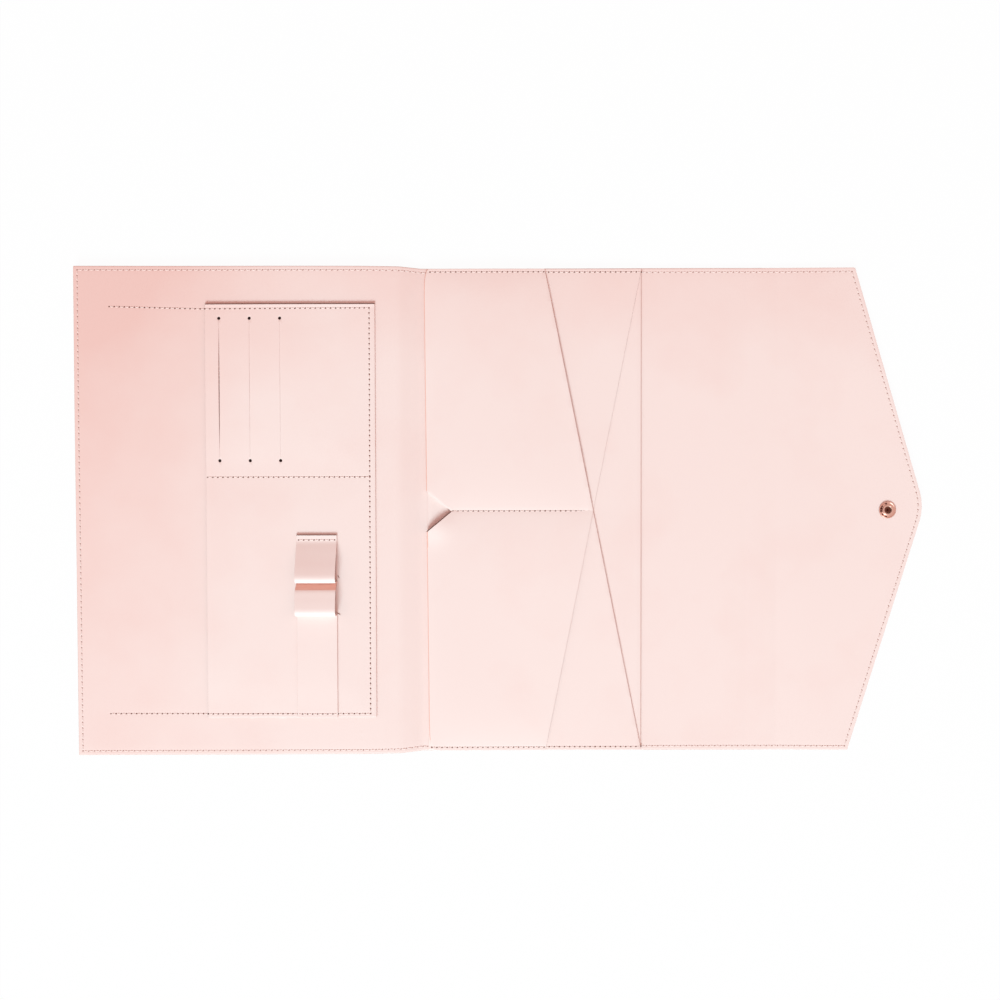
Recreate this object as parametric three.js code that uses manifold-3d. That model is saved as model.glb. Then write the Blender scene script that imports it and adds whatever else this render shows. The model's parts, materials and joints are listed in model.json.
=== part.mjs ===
// Portfolio clutch in smooth blush leather, lying open on its outside with its inside up.
// An outer leather and a lining make five panels: cover, spine strip, back, fold strip and pointed flap.
// The cover carries a card and pen organizer inside and a slip pocket outside; the back carries a
// document pocket and, on it, one folded sheet that makes two nested pockets with V-cut mouths.
// A press stud on the outside pocket snaps into a socket near the flap's tip.
// Units are millimetres. X runs across the fold lines, Y along them, and +Z is up.

import * as THREE from "three";
import { mergeVertices } from "three/addons/utils/BufferGeometryUtils.js";
import Module from "manifold-3d";

const wasm = await Module();
wasm.setup();

// Leather
const outerThickness = 1.0;
const liningThickness = 0.7;
const pocketThickness = 0.8;
const layerGap = 0.2;

// Panels, measured across the folds
const coverLength = 216;
const spineWidth = 15;
const backLength = 217;
const flapLength = 97;
const flapShoulder = 50.5;
const foldClearance = 0.3;

// Panels, measured along the folds
const backHeight = 322.6;
const coverOverlap = 2;
const cornerRadius = 2;
const flapTipRadius = 7;

// Document pocket and the folded pocket on the back
const pocketInset = 3.1;
const pocketEdgeStep = 0.6;
const pocketMouth = 146.5;
const mouthCutDepth = 32.2;
const notchDepth = 15.7;
const notchWidth = 26.8;

// Organizer on the cover
const organizerWidth = 113.3;
const organizerHeight = 276;
const organizerFromSpine = 16;
const slotCount = 3;
const slotPitch = 20.7;
const slotFromEdge = 9;
const slotFromTop = 10.7;
const slotLength = 94.7;
const slotWidth = 0.5;
const slotHoleRadius = 1.35;

// Pen loops
const strapWidth = 26.9;
const strapFromEdge = 25.8;
const strapTopTab = 4.5;
const strapSeamFlat = 1.2;
const loopSpans = [24.4, 22.2];
const strapTail = 69.2;
const loopRise = 6.4;
// Each loop stands steeply at its lower end and runs out gently at its upper end
const loopLean = 0.1;
const steepPull = 1.45;
const gentlePull = 1.2;
const gentleReach = 0.55;

// Slip pocket outside the cover, open towards the cover's free edge
const slipPocketLength = 178.7;
const thumbNotchWidth = 34;
const thumbNotchDepth = 9;

// Press stud
const snapFromTip = 23.2;
const snapSeatGap = 0.1;
const capRadius = 6.2;
const capHeight = 1.8;
const capRim = 0.5;
const capShoulder = 4.7;
const capPostRadius = 1.5;
const capPostBore = 0.9;
const rolledRim = 0.5;
const rolledRimHeight = 0.25;
const socketRadius = 5.7;
const socketRise = 1.6;
const socketFlange = 0.4;
const socketWall = 0.6;
const socketRecess = 2.8;
const socketLip = 0.35;
const lipHeight = 0.5;
const lipChamfer = 0.15;
const socketFillet = 0.25;
const socketBead = 0.4;
const socketFloor = 0.3;
const springWire = 0.22;
const studFlangeRadius = 4.4;
const studFlange = 0.4;
const studFlangeChamfer = 0.1;
const studBulb = 2.15;
const studNeck = 1.75;
const studHead = 1.6;
const studShoulderDepth = 0.3;
const studNeckDepth = 0.65;
const studBulbDepth = 1.05;
const studTipWall = 0.2;
const studCrown = 0.5;
const studBore = 1.3;
const studPostRadius = 1.2;
const studPostBore = 0.8;
const studPostFlange = 0.28;
const studPostFlangeRadius = 3.9;
const snapClearance = 0.2;
const turnSteps = 36;
const arcSteps = 8;

// Heights above the lining's face, which is z = 0 in every panel
const outerTop = -liningThickness - layerGap;
const outerBottom = outerTop - outerThickness;
const slipPocketTop = outerBottom - layerGap;
const slipPocketBottom = slipPocketTop - pocketThickness;
const studSeat = slipPocketBottom - snapSeatGap;
const studFace = studSeat - studFlange;
const studTip = studFace - studHead;
const socketBottom = outerTop + snapSeatGap;
const socketInside = socketBottom + socketFloor;
const lipUnderside = socketRise - lipHeight;
const firstSheet = layerGap;
const secondSheet = firstSheet + pocketThickness + layerGap;
const thirdSheet = secondSheet + pocketThickness + layerGap;

// Places that follow from the sizes above
const coverHeight = backHeight + 2 * coverOverlap;
const pocketHeight = backHeight - 2 * pocketEdgeStep;
const snapFromFold = flapLength - snapFromTip;
const studFromFold = backLength - snapFromFold;
const foldWidth = spineWidth - studFace + snapClearance + socketRise;
const coverRise = outerBottom - studTip;
const spineTilt = Math.asin(coverRise / spineWidth);
const flapTilt = Math.asin(capHeight / snapFromFold);
const organizerRight = -organizerFromSpine;
const organizerLeft = organizerRight - organizerWidth;
const organizerTop = organizerHeight / 2;

const outerLeather = new THREE.MeshStandardMaterial({ color: 0xf3d3ca, roughness: 0.55, metalness: 0 });
const liningLeather = new THREE.MeshStandardMaterial({ color: 0xf6dcd4, roughness: 0.6, metalness: 0 });
const pocketLeather = new THREE.MeshStandardMaterial({ color: 0xf7ded7, roughness: 0.58, metalness: 0 });
const roseMetal = new THREE.MeshStandardMaterial({ color: 0xb87a66, roughness: 0.3, metalness: 1 });

// Solids to and from the boolean library
function toSolid(geometry) {
  const bare = geometry.clone();
  bare.deleteAttribute("normal");
  bare.deleteAttribute("uv");
  const merged = mergeVertices(bare);
  const vertProperties = merged.attributes.position.array;
  const triVerts = new Uint32Array(merged.index.array);
  return new wasm.Manifold(new wasm.Mesh({ numProp: 3, vertProperties, triVerts }));
}

function toGeometry(solid) {
  const { vertProperties, triVerts } = solid.getMesh();
  const indexed = new THREE.BufferGeometry();
  indexed.setAttribute("position", new THREE.BufferAttribute(vertProperties, 3));
  indexed.setIndex(new THREE.BufferAttribute(triVerts, 1));
  const geometry = indexed.toNonIndexed();
  geometry.computeVertexNormals();
  return geometry;
}

// A closed outline through [x, y, radius] corners, each rounded to its radius
function outline(corners) {
  const shape = new THREE.Shape();
  const last = corners.length - 1;
  corners.forEach(([x, y, radius = 0], i) => {
    const corner = new THREE.Vector2(x, y);
    const before = new THREE.Vector2(...corners[i === 0 ? last : i - 1]).sub(corner).normalize();
    const after = new THREE.Vector2(...corners[i === last ? 0 : i + 1]).sub(corner).normalize();
    const halfAngle = Math.acos(before.dot(after)) / 2;
    const reach = radius / Math.tan(halfAngle);
    const start = corner.clone().addScaledVector(before, reach);
    const end = corner.clone().addScaledVector(after, reach);
    if (i === 0) shape.moveTo(start.x, start.y);
    else shape.lineTo(start.x, start.y);
    if (radius > 0) shape.quadraticCurveTo(x, y, end.x, end.y);
  });
  shape.closePath();
  return shape;
}

function rectangle(left, right, height) {
  return outline([[left, -height / 2], [right, -height / 2], [right, height / 2], [left, height / 2]]);
}

function roundHole(x, y, radius) {
  return new THREE.Path().absarc(x, y, radius, 0, 2 * Math.PI, false);
}

// A flat sheet of leather of that plan, its underside at that height
function sheet(plan, bottom, thickness) {
  const geometry = new THREE.ExtrudeGeometry(plan, {
    depth: thickness,
    bevelEnabled: false,
    curveSegments: arcSteps,
  });
  return geometry.translate(0, 0, bottom);
}

// A profile of [radius, height] points turned about the Z axis, with the solid on its left
function turned(profile, x) {
  const points = profile.map(([radius, height]) => new THREE.Vector2(radius, height));
  return new THREE.LatheGeometry(points, turnSteps).rotateX(Math.PI / 2).translate(x, 0, 0);
}

function piece(name, geometry, material) {
  const mesh = new THREE.Mesh(geometry, material);
  mesh.name = name;
  return mesh;
}

// The outer leather and lining of one panel, both of the same plan
function panelSheets(name, planOf) {
  return [
    piece(`outer_${name}`, sheet(planOf("outer"), outerBottom, outerThickness), outerLeather),
    piece(`lining_${name}`, sheet(planOf("lining"), -liningThickness, liningThickness), liningLeather),
  ];
}

// Back panel
function backPlan() {
  return rectangle(foldClearance, backLength - foldClearance, backHeight);
}

function documentPocket() {
  return sheet(rectangle(pocketInset + pocketThickness, pocketMouth, pocketHeight), firstSheet, pocketThickness);
}

// One sheet folded at the spine side: its front leaf ends in a point, its rear leaf in a matching V
function dividedPocket() {
  const outerBend = (thirdSheet + pocketThickness - secondSheet) / 2;
  const innerBend = layerGap / 2;
  const middle = secondSheet + outerBend;
  const bendX = pocketInset + outerBend;
  const section = new THREE.Shape();
  section.moveTo(pocketMouth, middle + outerBend);
  section.lineTo(bendX, middle + outerBend);
  section.absarc(bendX, middle, outerBend, Math.PI / 2, 1.5 * Math.PI, false);
  section.lineTo(pocketMouth, middle - outerBend);
  section.lineTo(pocketMouth, middle - innerBend);
  section.lineTo(bendX, middle - innerBend);
  section.absarc(bendX, middle, innerBend, 1.5 * Math.PI, Math.PI / 2, true);
  section.lineTo(pocketMouth, middle + innerBend);
  section.closePath();
  const folded = new THREE.ExtrudeGeometry(section, {
    depth: pocketHeight,
    bevelEnabled: false,
    curveSegments: arcSteps,
  });
  folded.rotateX(Math.PI / 2).translate(0, pocketHeight / 2, 0);

  const past = pocketMouth + notchDepth;
  const half = backHeight / 2;
  const tip = pocketMouth - mouthCutDepth;
  const side = tip - mouthCutDepth * (pocketHeight / backHeight);
  const frontCut = outline([[side, -half], [past, -half], [past, half], [side, half], [tip, 0]]);
  const rearCut = outline([[pocketMouth, -half], [past, -half], [past, half], [pocketMouth, half], [tip, 0]]);
  const notch = outline([
    [0, -notchWidth / 2],
    [pocketInset, -notchWidth / 2],
    [pocketInset + notchDepth, 0],
    [pocketInset, notchWidth / 2],
    [0, notchWidth / 2],
  ]);
  const solid = toSolid(folded)
    .subtract(toSolid(sheet(frontCut, middle, outerBend + layerGap)))
    .subtract(toSolid(sheet(rearCut, middle - outerBend - layerGap, outerBend + layerGap)))
    .subtract(toSolid(sheet(notch, middle - 2 * outerBend, 4 * outerBend)));
  return toGeometry(solid);
}

function backPanel() {
  const panel = new THREE.Group();
  panel.add(...panelSheets("back", backPlan));
  panel.add(piece("document_pocket", documentPocket(), pocketLeather));
  panel.add(piece("divided_pocket", dividedPocket(), pocketLeather));
  return panel;
}

// Spine strip, which flares from the back's height to the cover's
function spinePlan() {
  const near = -foldClearance;
  const far = foldClearance - spineWidth;
  return outline([
    [near, backHeight / 2],
    [far, coverHeight / 2],
    [far, -coverHeight / 2],
    [near, -backHeight / 2],
  ]);
}

// Cover panel
function coverPlan() {
  const near = -foldClearance;
  const half = coverHeight / 2;
  return outline([
    [near, -half],
    [near, half],
    [-coverLength, half, cornerRadius],
    [-coverLength, -half, cornerRadius],
  ]);
}

// A card slot is a slit between two punched holes
function cardSlot(x, top) {
  const opening = Math.asin(slotWidth / 2 / slotHoleRadius);
  const bottom = top - slotLength;
  const down = -Math.PI / 2;
  const up = Math.PI / 2;
  const path = new THREE.Path();
  path.absarc(x, top, slotHoleRadius, down + opening, down + 2 * Math.PI - opening, false);
  path.absarc(x, bottom, slotHoleRadius, up + opening, up + 2 * Math.PI - opening, false);
  path.closePath();
  return path;
}

function organizer() {
  const plan = rectangle(organizerLeft, organizerRight, organizerHeight);
  for (let i = 0; i < slotCount; i++) {
    plan.holes.push(cardSlot(organizerLeft + slotFromEdge + i * slotPitch, organizerTop - slotFromTop));
  }
  return sheet(plan, firstSheet, pocketThickness);
}

// The middle line of the pen strap in [y, z], from its tail at the organizer's lower edge to its top tab
function strapLine() {
  const seat = secondSheet + pocketThickness / 2;
  let y = -organizerHeight / 2;
  const line = [new THREE.Vector2(y, seat)];
  y += strapTail;
  line.push(new THREE.Vector2(y, seat));
  for (const span of [...loopSpans].reverse()) {
    const loop = new THREE.CubicBezierCurve(
      new THREE.Vector2(y, seat),
      new THREE.Vector2(y - loopLean * span, seat + steepPull * loopRise),
      new THREE.Vector2(y + gentleReach * span, seat + gentlePull * loopRise),
      new THREE.Vector2(y + span, seat),
    );
    line.push(...loop.getPoints(2 * arcSteps).slice(1));
    y += span;
    line.push(new THREE.Vector2(y + strapSeamFlat, seat));
    y += strapSeamFlat;
  }
  line.push(new THREE.Vector2(y + strapTopTab, seat));
  return line;
}

function penStrap() {
  const line = strapLine();
  const offsetLine = (distance) =>
    line.map((point, i) => {
      const before = line[Math.max(i - 1, 0)];
      const after = line[Math.min(i + 1, line.length - 1)];
      const along = after.clone().sub(before).normalize();
      return new THREE.Vector2(point.x - along.y * distance, point.y + along.x * distance);
    });
  const half = pocketThickness / 2;
  const section = new THREE.Shape([...offsetLine(-half), ...offsetLine(half).reverse()]);
  const geometry = new THREE.ExtrudeGeometry(section, { depth: strapWidth, bevelEnabled: false });
  const right = organizerRight - strapFromEdge;
  return geometry.rotateX(Math.PI / 2).rotateZ(Math.PI / 2).translate(right - strapWidth, 0, 0);
}

// The slip pocket's outline, with a round thumb notch in its open edge
function slipPocketPlan() {
  const left = organizerRight - slipPocketLength;
  const half = thumbNotchWidth / 2;
  const radius = (half ** 2 + thumbNotchDepth ** 2) / (2 * thumbNotchDepth);
  const centre = left + thumbNotchDepth - radius;
  const reach = Math.asin(half / radius);
  const plan = new THREE.Shape();
  plan.moveTo(left, -organizerTop);
  plan.lineTo(organizerRight, -organizerTop);
  plan.lineTo(organizerRight, organizerTop);
  plan.lineTo(left, organizerTop);
  plan.absarc(centre, 0, radius, reach, -reach, true);
  plan.closePath();
  return plan;
}

function slipPocket() {
  const plan = slipPocketPlan();
  plan.holes.push(roundHole(-studFromFold, 0, studPostRadius + snapSeatGap));
  const pocket = toSolid(sheet(plan, slipPocketBottom, pocketThickness));
  const seat = new THREE.CylinderGeometry(1, 1, 2 * (studPostFlange + snapSeatGap), turnSteps);
  const wide = studPostFlangeRadius + snapSeatGap;
  seat.scale(wide, 1, wide).rotateX(Math.PI / 2).translate(-studFromFold, 0, slipPocketTop);
  return toGeometry(pocket.subtract(toSolid(seat)));
}

function stud() {
  const bulb = studFace - studBulbDepth;
  return turned(
    [
      [studBore, studSeat],
      [studBore, bulb],
      [studPostBore, studTip + studTipWall],
      [studPostBore, studTip],
      [studBulb - studCrown, studTip],
      [studBulb, bulb],
      [studNeck, studFace - studNeckDepth],
      [studNeck, studFace - studShoulderDepth],
      [studNeck + studShoulderDepth, studFace],
      [studFlangeRadius - studFlangeChamfer, studFace],
      [studFlangeRadius, studFace + studFlangeChamfer],
      [studFlangeRadius, studSeat],
      [studBore, studSeat],
    ],
    -studFromFold,
  );
}

function studPost() {
  const flangeTop = slipPocketTop;
  const flangeBottom = flangeTop - studPostFlange;
  const tubeEnd = studFace - studNeckDepth;
  return turned(
    [
      [0, flangeBottom],
      [studPostBore, flangeBottom],
      [studPostBore, tubeEnd],
      [studPostRadius, tubeEnd],
      [studPostRadius, flangeBottom],
      [studPostFlangeRadius, flangeBottom],
      [studPostFlangeRadius, flangeTop],
      [0, flangeTop],
    ],
    -studFromFold,
  );
}

function coverPanel() {
  const panel = new THREE.Group();
  panel.add(...panelSheets("cover", coverPlan));
  panel.add(piece("organizer_pocket", organizer(), pocketLeather));
  panel.add(piece("pen_loop_strap", penStrap(), pocketLeather));
  panel.add(piece("slip_pocket", slipPocket(), outerLeather));
  panel.add(piece("snap_stud", stud(), roseMetal));
  panel.add(piece("snap_stud_post", studPost(), roseMetal));
  return panel;
}

// Fold strip between the back and the flap
function foldPlan() {
  return rectangle(foldClearance, foldWidth - foldClearance, backHeight);
}

// Pointed flap, with a hole for the cap's post in the outer leather and for the socket in the lining
function flapPlan(layer) {
  const half = backHeight / 2;
  const plan = outline([
    [foldClearance, -half],
    [flapShoulder, -half, cornerRadius],
    [flapLength + tipOverrun(half), 0, flapTipRadius],
    [flapShoulder, half, cornerRadius],
    [foldClearance, half],
  ]);
  const radius = layer === "outer" ? capPostRadius : socketRecess + socketWall;
  plan.holes.push(roundHole(snapFromFold, 0, radius + snapSeatGap));
  return plan;
}

// How far the flap's sharp corner lies past its rounded tip
function tipOverrun(half) {
  const slope = (flapLength - flapShoulder) / half;
  return (flapTipRadius * slope) / 2;
}

function snapCap() {
  const seat = outerBottom - snapSeatGap;
  const bottom = outerBottom - capHeight;
  const rimBottom = seat - capRim;
  const dome = new THREE.QuadraticBezierCurve(
    new THREE.Vector2(0, bottom),
    new THREE.Vector2(capShoulder, bottom),
    new THREE.Vector2(capRadius, rimBottom),
  );
  const rimSeat = socketInside + snapSeatGap;
  return turned(
    [
      ...dome.getPoints(arcSteps).map((point) => [point.x, point.y]),
      [capRadius, seat],
      [capPostRadius, seat],
      [capPostRadius, rimSeat],
      [capPostRadius + rolledRim, rimSeat],
      [capPostRadius + rolledRim, rimSeat + rolledRimHeight],
      [capPostBore, rimSeat + rolledRimHeight],
      [capPostBore, outerBottom],
      [0, outerBottom],
    ],
    snapFromFold,
  );
}

function snapSocket() {
  const barrel = socketRecess + socketWall;
  const hole = capPostRadius + snapSeatGap;
  const flangeBottom = snapSeatGap;
  const flangeTop = flangeBottom + socketFlange;
  return turned(
    [
      [hole, socketInside],
      [socketRecess, socketInside],
      [socketRecess, lipUnderside],
      [socketRecess - socketLip, lipUnderside + lipChamfer],
      [socketRecess - socketLip, socketRise - lipChamfer],
      [socketRecess - socketLip + lipChamfer, socketRise],
      [barrel - lipChamfer, socketRise],
      [barrel, socketRise - lipChamfer],
      [barrel + socketFillet, flangeTop],
      [socketRadius - 2 * socketBead, flangeTop],
      [socketRadius - socketBead, flangeTop + socketBead / 2],
      [socketRadius, flangeTop],
      [socketRadius, flangeBottom],
      [barrel, flangeBottom],
      [barrel, socketBottom],
      [hole, socketBottom],
      [hole, socketInside],
    ].reverse(),
    snapFromFold,
  );
}

// Wire ring under the socket's lip, which springs in round the stud's neck
function snapSpring() {
  const ring = new THREE.TorusGeometry(socketRecess - 2 * springWire, springWire, arcSteps, turnSteps);
  return ring.translate(snapFromFold, 0, lipUnderside - 0.5 * springWire);
}

function flapPanel() {
  const panel = new THREE.Group();
  panel.add(...panelSheets("flap", flapPlan));
  panel.add(piece("snap_cap", snapCap(), roseMetal));
  panel.add(piece("snap_socket", snapSocket(), roseMetal));
  panel.add(piece("snap_spring", snapSpring(), roseMetal));
  return panel;
}

// Each panel hangs on the fold line that it turns about, and rests as the open clutch lies:
// the spine strip slopes up to the cover, which lies on its stud, and the flap lies on its cap
function openClutch() {
  const back = backPanel();
  const spine = new THREE.Group();
  spine.add(...panelSheets("spine", spinePlan));
  spine.rotation.y = spineTilt;
  const cover = coverPanel();
  cover.position.x = -spineWidth;
  cover.rotation.y = -spineTilt;
  spine.add(cover);
  const fold = new THREE.Group();
  fold.add(...panelSheets("fold", foldPlan));
  fold.position.x = backLength;
  const flap = flapPanel();
  flap.position.x = foldWidth;
  flap.rotation.y = -flapTilt;
  fold.add(flap);

  const clutch = new THREE.Group();
  clutch.add(back, spine, fold);
  clutch.updateMatrixWorld(true);
  const bounds = new THREE.Box3().setFromObject(clutch, true);
  clutch.position.set(-(bounds.min.x + bounds.max.x) / 2, 0, -bounds.min.z);
  return clutch;
}

export default openClutch();
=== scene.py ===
# Portfolio clutch in smooth blush leather, lying open on a white table with its inside up.
# Lengths are in metres. X runs across the folds towards the flap's tip, Y along them, Z up.

import json
import math

import bmesh
import bpy
import numpy as np
from mathutils import Euler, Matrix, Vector


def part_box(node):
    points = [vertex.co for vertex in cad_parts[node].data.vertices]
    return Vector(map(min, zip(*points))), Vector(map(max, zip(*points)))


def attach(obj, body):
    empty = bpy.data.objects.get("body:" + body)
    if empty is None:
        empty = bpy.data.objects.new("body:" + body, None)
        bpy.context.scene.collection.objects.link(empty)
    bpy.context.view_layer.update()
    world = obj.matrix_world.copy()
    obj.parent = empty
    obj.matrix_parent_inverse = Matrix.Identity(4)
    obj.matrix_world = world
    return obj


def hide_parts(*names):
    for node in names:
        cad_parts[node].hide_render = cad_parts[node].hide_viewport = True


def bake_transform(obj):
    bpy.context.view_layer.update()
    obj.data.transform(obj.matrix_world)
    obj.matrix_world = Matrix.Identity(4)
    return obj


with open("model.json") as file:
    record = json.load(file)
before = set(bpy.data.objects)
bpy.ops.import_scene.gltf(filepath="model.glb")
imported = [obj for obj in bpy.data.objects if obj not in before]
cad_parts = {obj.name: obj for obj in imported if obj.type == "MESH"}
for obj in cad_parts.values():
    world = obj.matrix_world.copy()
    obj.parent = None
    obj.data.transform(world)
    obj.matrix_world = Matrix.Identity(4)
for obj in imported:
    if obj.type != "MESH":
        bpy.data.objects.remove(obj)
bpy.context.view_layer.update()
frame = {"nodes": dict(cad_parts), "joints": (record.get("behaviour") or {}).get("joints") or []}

MM = 0.001

# Fold lines and panel edges, from the frame
FOLD = {joint["name"]: Vector(joint["pos_m"]) for joint in frame["joints"]}
COVER_FOLD = FOLD["cover_fold"]
SPINE_FOLD = FOLD["spine_fold"]
ROOT_FOLD = FOLD["flap_root_fold"]
FLAP_FOLD = FOLD["flap_fold"]
COVER_LOW, COVER_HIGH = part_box("outer_cover")
BACK_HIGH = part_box("outer_back")[1]
FLAP_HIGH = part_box("outer_flap")[1]
MID_SPINE = (COVER_FOLD.x + SPINE_FOLD.x) / 2
MID_BACK = (SPINE_FOLD.x + ROOT_FOLD.x) / 2
MID_FOLD = (ROOT_FOLD.x + FLAP_FOLD.x) / 2
TIP = FLAP_HIGH.x + 0.25 * MM
SHOULDER = FLAP_FOLD.x + 49.6 * MM
FLAP_TILT = math.radians(1.3976)
FLAP_SLOPE = math.atan2(TIP - SHOULDER, BACK_HIGH.y)
SHOULDER_RADIUS = 1.6 * MM
TIP_RADIUS = 36 * MM
TIP_CENTRE = TIP - TIP_RADIUS / math.cos(FLAP_SLOPE)
FLAP_LEAN = 1.7 * MM
TIP_RISE = 2.2 * MM

# Leather
OUTER_THICKNESS = 1.0 * MM
LINING_THICKNESS = 0.7 * MM
POCKET_THICKNESS = 0.8 * MM
LAYER_GAP = 0.2 * MM
CELL = 3.5 * MM
CORNER_RADIUS = 0.6 * MM
FOLD_ROUNDING = 2.6 * MM
BEND_REACH = 4.5 * MM
FLAP_CREASE = 0.06 * MM
EDGE_BEVEL = 0.22 * MM
MOUTH_BEVEL = 0.27 * MM
STRAP_BEVEL = 0.32 * MM
FOLD_LEAN = 1.3 * MM

# Seams
SEAM_INSET = 2.7 * MM
COVER_PITCH = 3.85 * MM
POCKET_PITCH = 3.4 * MM
CHANNEL_DEPTH = 0.06 * MM
UNDER_CHANNEL = 0.06 * MM
POCKET_CHANNEL = 0.03 * MM
CHANNEL_WIDTH = 0.9 * MM
SEAM_ROWS = (-1.4, -0.8, -0.35, 0, 0.35, 0.8, 1.4)
SEAM_SHOULDER = SHOULDER - 1.9 * MM

# Divided pocket, its notch and its mouths
POCKET_LOW, POCKET_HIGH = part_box("divided_pocket")
DOCUMENT_LOW, DOCUMENT_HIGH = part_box("document_pocket")
MOUTH = DOCUMENT_HIGH.x
MOUTH_CUT = 32.2 * MM
MOUTH_TIP = MOUTH - MOUTH_CUT
NOTCH_DEPTH = 16.4 * MM
NOTCH_HALF = 13.4 * MM
POCKET_PUFF = 1.5 * MM
PUFF_REACH = 13 * MM
PUFF_REACH_EDGE = 15 * MM
PUFF_REACH_FOLD = 9 * MM
MOUTH_REACH = 5 * MM
DOCUMENT_FLARE = 0.2 * MM
REAR_FLARE = 0.25 * MM
FRONT_FLARE = 0.3 * MM
NOTCH_LIFT = 2.1 * MM
# Width of the strips of painted shadow along some edges
PAINTED_SHADOW_WIDTH = 0.6 * MM
CORNER_PULL = 2.6 * MM

# Organizer, its card slots and the pen loops
ORGANIZER_LOW, ORGANIZER_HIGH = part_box("organizer_pocket")
SLIP_LOW, SLIP_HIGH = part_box("slip_pocket")
STRAP_LOW, STRAP_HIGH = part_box("pen_loop_strap")
ORGANIZER_LEFT = ORGANIZER_LOW.x + 0.7 * MM
ORGANIZER_SEAM_RIGHT = ORGANIZER_HIGH.x - 3.7 * MM
ORGANIZER_SEAM_TOP = ORGANIZER_HIGH.y - 3.2 * MM
ORGANIZER_SEAM_BOTTOM = ORGANIZER_LOW.y + 2.6 * MM
ORGANIZER_SEAM_LEFT = ORGANIZER_LOW.x - 63 * MM
CARD_DIVIDER = 22.9 * MM
SLOT_COUNT = 3
SLOT_PITCH = 20.2 * MM
SLOT_FROM_EDGE = 9.2 * MM
SLOT_PLACES = [ORGANIZER_LEFT + SLOT_FROM_EDGE + i * SLOT_PITCH for i in range(SLOT_COUNT)]
SLOT_TOP = ORGANIZER_HIGH.y - 9.7 * MM
SLOT_LENGTH = 94.4 * MM
SLOT_BOTTOM = SLOT_TOP - SLOT_LENGTH
SLOT_MIDDLE = SLOT_TOP - SLOT_LENGTH / 2
SLOT_WIDTHS = (0.55 * MM, 0.05 * MM, 0.04 * MM)
SLOT_LIFTS = (0.3 * MM, 0.14 * MM, 0.1 * MM)
SLOT_HOLE_RADIUS = 1.07 * MM
CLOSED_SLIT = 0.03 * MM
EDGE_FLARE = 0.38 * MM
LIP_REACH = 4 * MM
THUMB_NOTCH_HALF = 17 * MM
THUMB_NOTCH_DEPTH = 9 * MM

# Press stud: its places along X, and radii
SNAP_FROM_FOLD = 73.8 * MM
SNAP_X = FLAP_FOLD.x + SNAP_FROM_FOLD * math.cos(FLAP_TILT)
STUD_X = COVER_FOLD.x - 217 * MM + SNAP_FROM_FOLD
SNAP_Z = FLAP_FOLD.z + SNAP_FROM_FOLD * math.sin(FLAP_TILT)
GROOVE_RADIUS = 4.35 * MM
CAP_POST_RADIUS = 1.5 * MM
SOCKET_BARREL = 3.4 * MM
STUD_POST_RADIUS = 1.2 * MM
STUD_ROOM = 0.1 * MM
TURN_STEPS = 64
ARC_STEPS = 4

# Photograph's framing: the width of the view at the table, the camera's distance and its turn
VIEW_WIDTH = 669.4 * MM
VIEW_CENTRE = Vector((0.05 * MM, 7.2 * MM, 2.0 * MM))
CAMERA_DISTANCE = 0.75
CAMERA_TILT = math.radians(1.524)
CAMERA_ROLL = math.radians(-0.134)
SENSOR_WIDTH = 36.0
NEAREST_SEEN = 0.01
FURTHEST_SEEN = 20

# The fill is warm and the key cool, and together they are neutral on the leather's face
FILL_COLOUR = (0.665, 0.448, 0.412)
KEY_COLOUR = (0.63, 1.0, 1.08)
KEY_POWER = 394.0
KEY_PLACE = Vector((-1.0, -5.0, 3.75))
KEY_SIZE = 3.0
TABLE_SIZE = 8
TABLE_LEVEL = -0.62 * MM
TABLE_COLOUR = (0.9, 0.9, 0.9, 1)
TABLE_GLOW = 0.96
WHITE = (1, 1, 1, 1)


# Shader nodes

def feed(tree, value, socket):
    """Links an output to a socket, or sets the socket to a plain number or colour."""
    if isinstance(value, bpy.types.NodeSocket):
        tree.links.new(value, socket)
    else:
        socket.default_value = value


def add_node(tree, kind, inputs=None, **settings):
    """A shader node with those settings, and a value or a link for each input named."""
    node = tree.nodes.new(f"ShaderNode{kind}")
    for name, value in settings.items():
        setattr(node, name, value)
    for name, value in (inputs or {}).items():
        feed(tree, value, node.inputs[name])
    return node


def math_node(tree, operation, first, second):
    return add_node(tree, "Math", {0: first, 1: second}, operation=operation).outputs[0]


def noise_node(tree, coordinates, scale, detail=2, roughness=0.5):
    inputs = {"Vector": coordinates, "Scale": scale, "Detail": detail, "Roughness": roughness}
    return add_node(tree, "TexNoise", inputs).outputs["Fac"]


def remap(tree, value, start, end, low=0.0, high=1.0, easing="LINEAR"):
    """Low where the value is at its start, and high where it is at its end."""
    inputs = {"Value": value, "From Min": start, "From Max": end, "To Min": low, "To Max": high}
    return add_node(tree, "MapRange", inputs, interpolation_type=easing).outputs["Result"]


def spread(tree, noise, low=0.0, high=1.0):
    """Widens a noise, which stays near its middle, to run from low to high."""
    return remap(tree, noise, 0.3, 0.7, low, high)


def mix_colours(tree, first, second, share):
    inputs = {0: share, 6: (*first, 1), 7: (*second, 1)}
    return add_node(tree, "Mix", inputs, data_type="RGBA").outputs[2]


def bump(tree, height, strength, distance):
    inputs = {"Height": height, "Strength": strength, "Distance": distance}
    return add_node(tree, "Bump", inputs).outputs["Normal"]


def object_coordinates(tree):
    return add_node(tree, "TexCoord").outputs["Object"]


def seen_directly(tree):
    """1 for camera, glossy and transmission rays, else 0."""
    path = add_node(tree, "LightPath").outputs
    seen = math_node(tree, "MAXIMUM", path["Is Camera Ray"], path["Is Glossy Ray"])
    return math_node(tree, "MAXIMUM", seen, path["Is Transmission Ray"])


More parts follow.
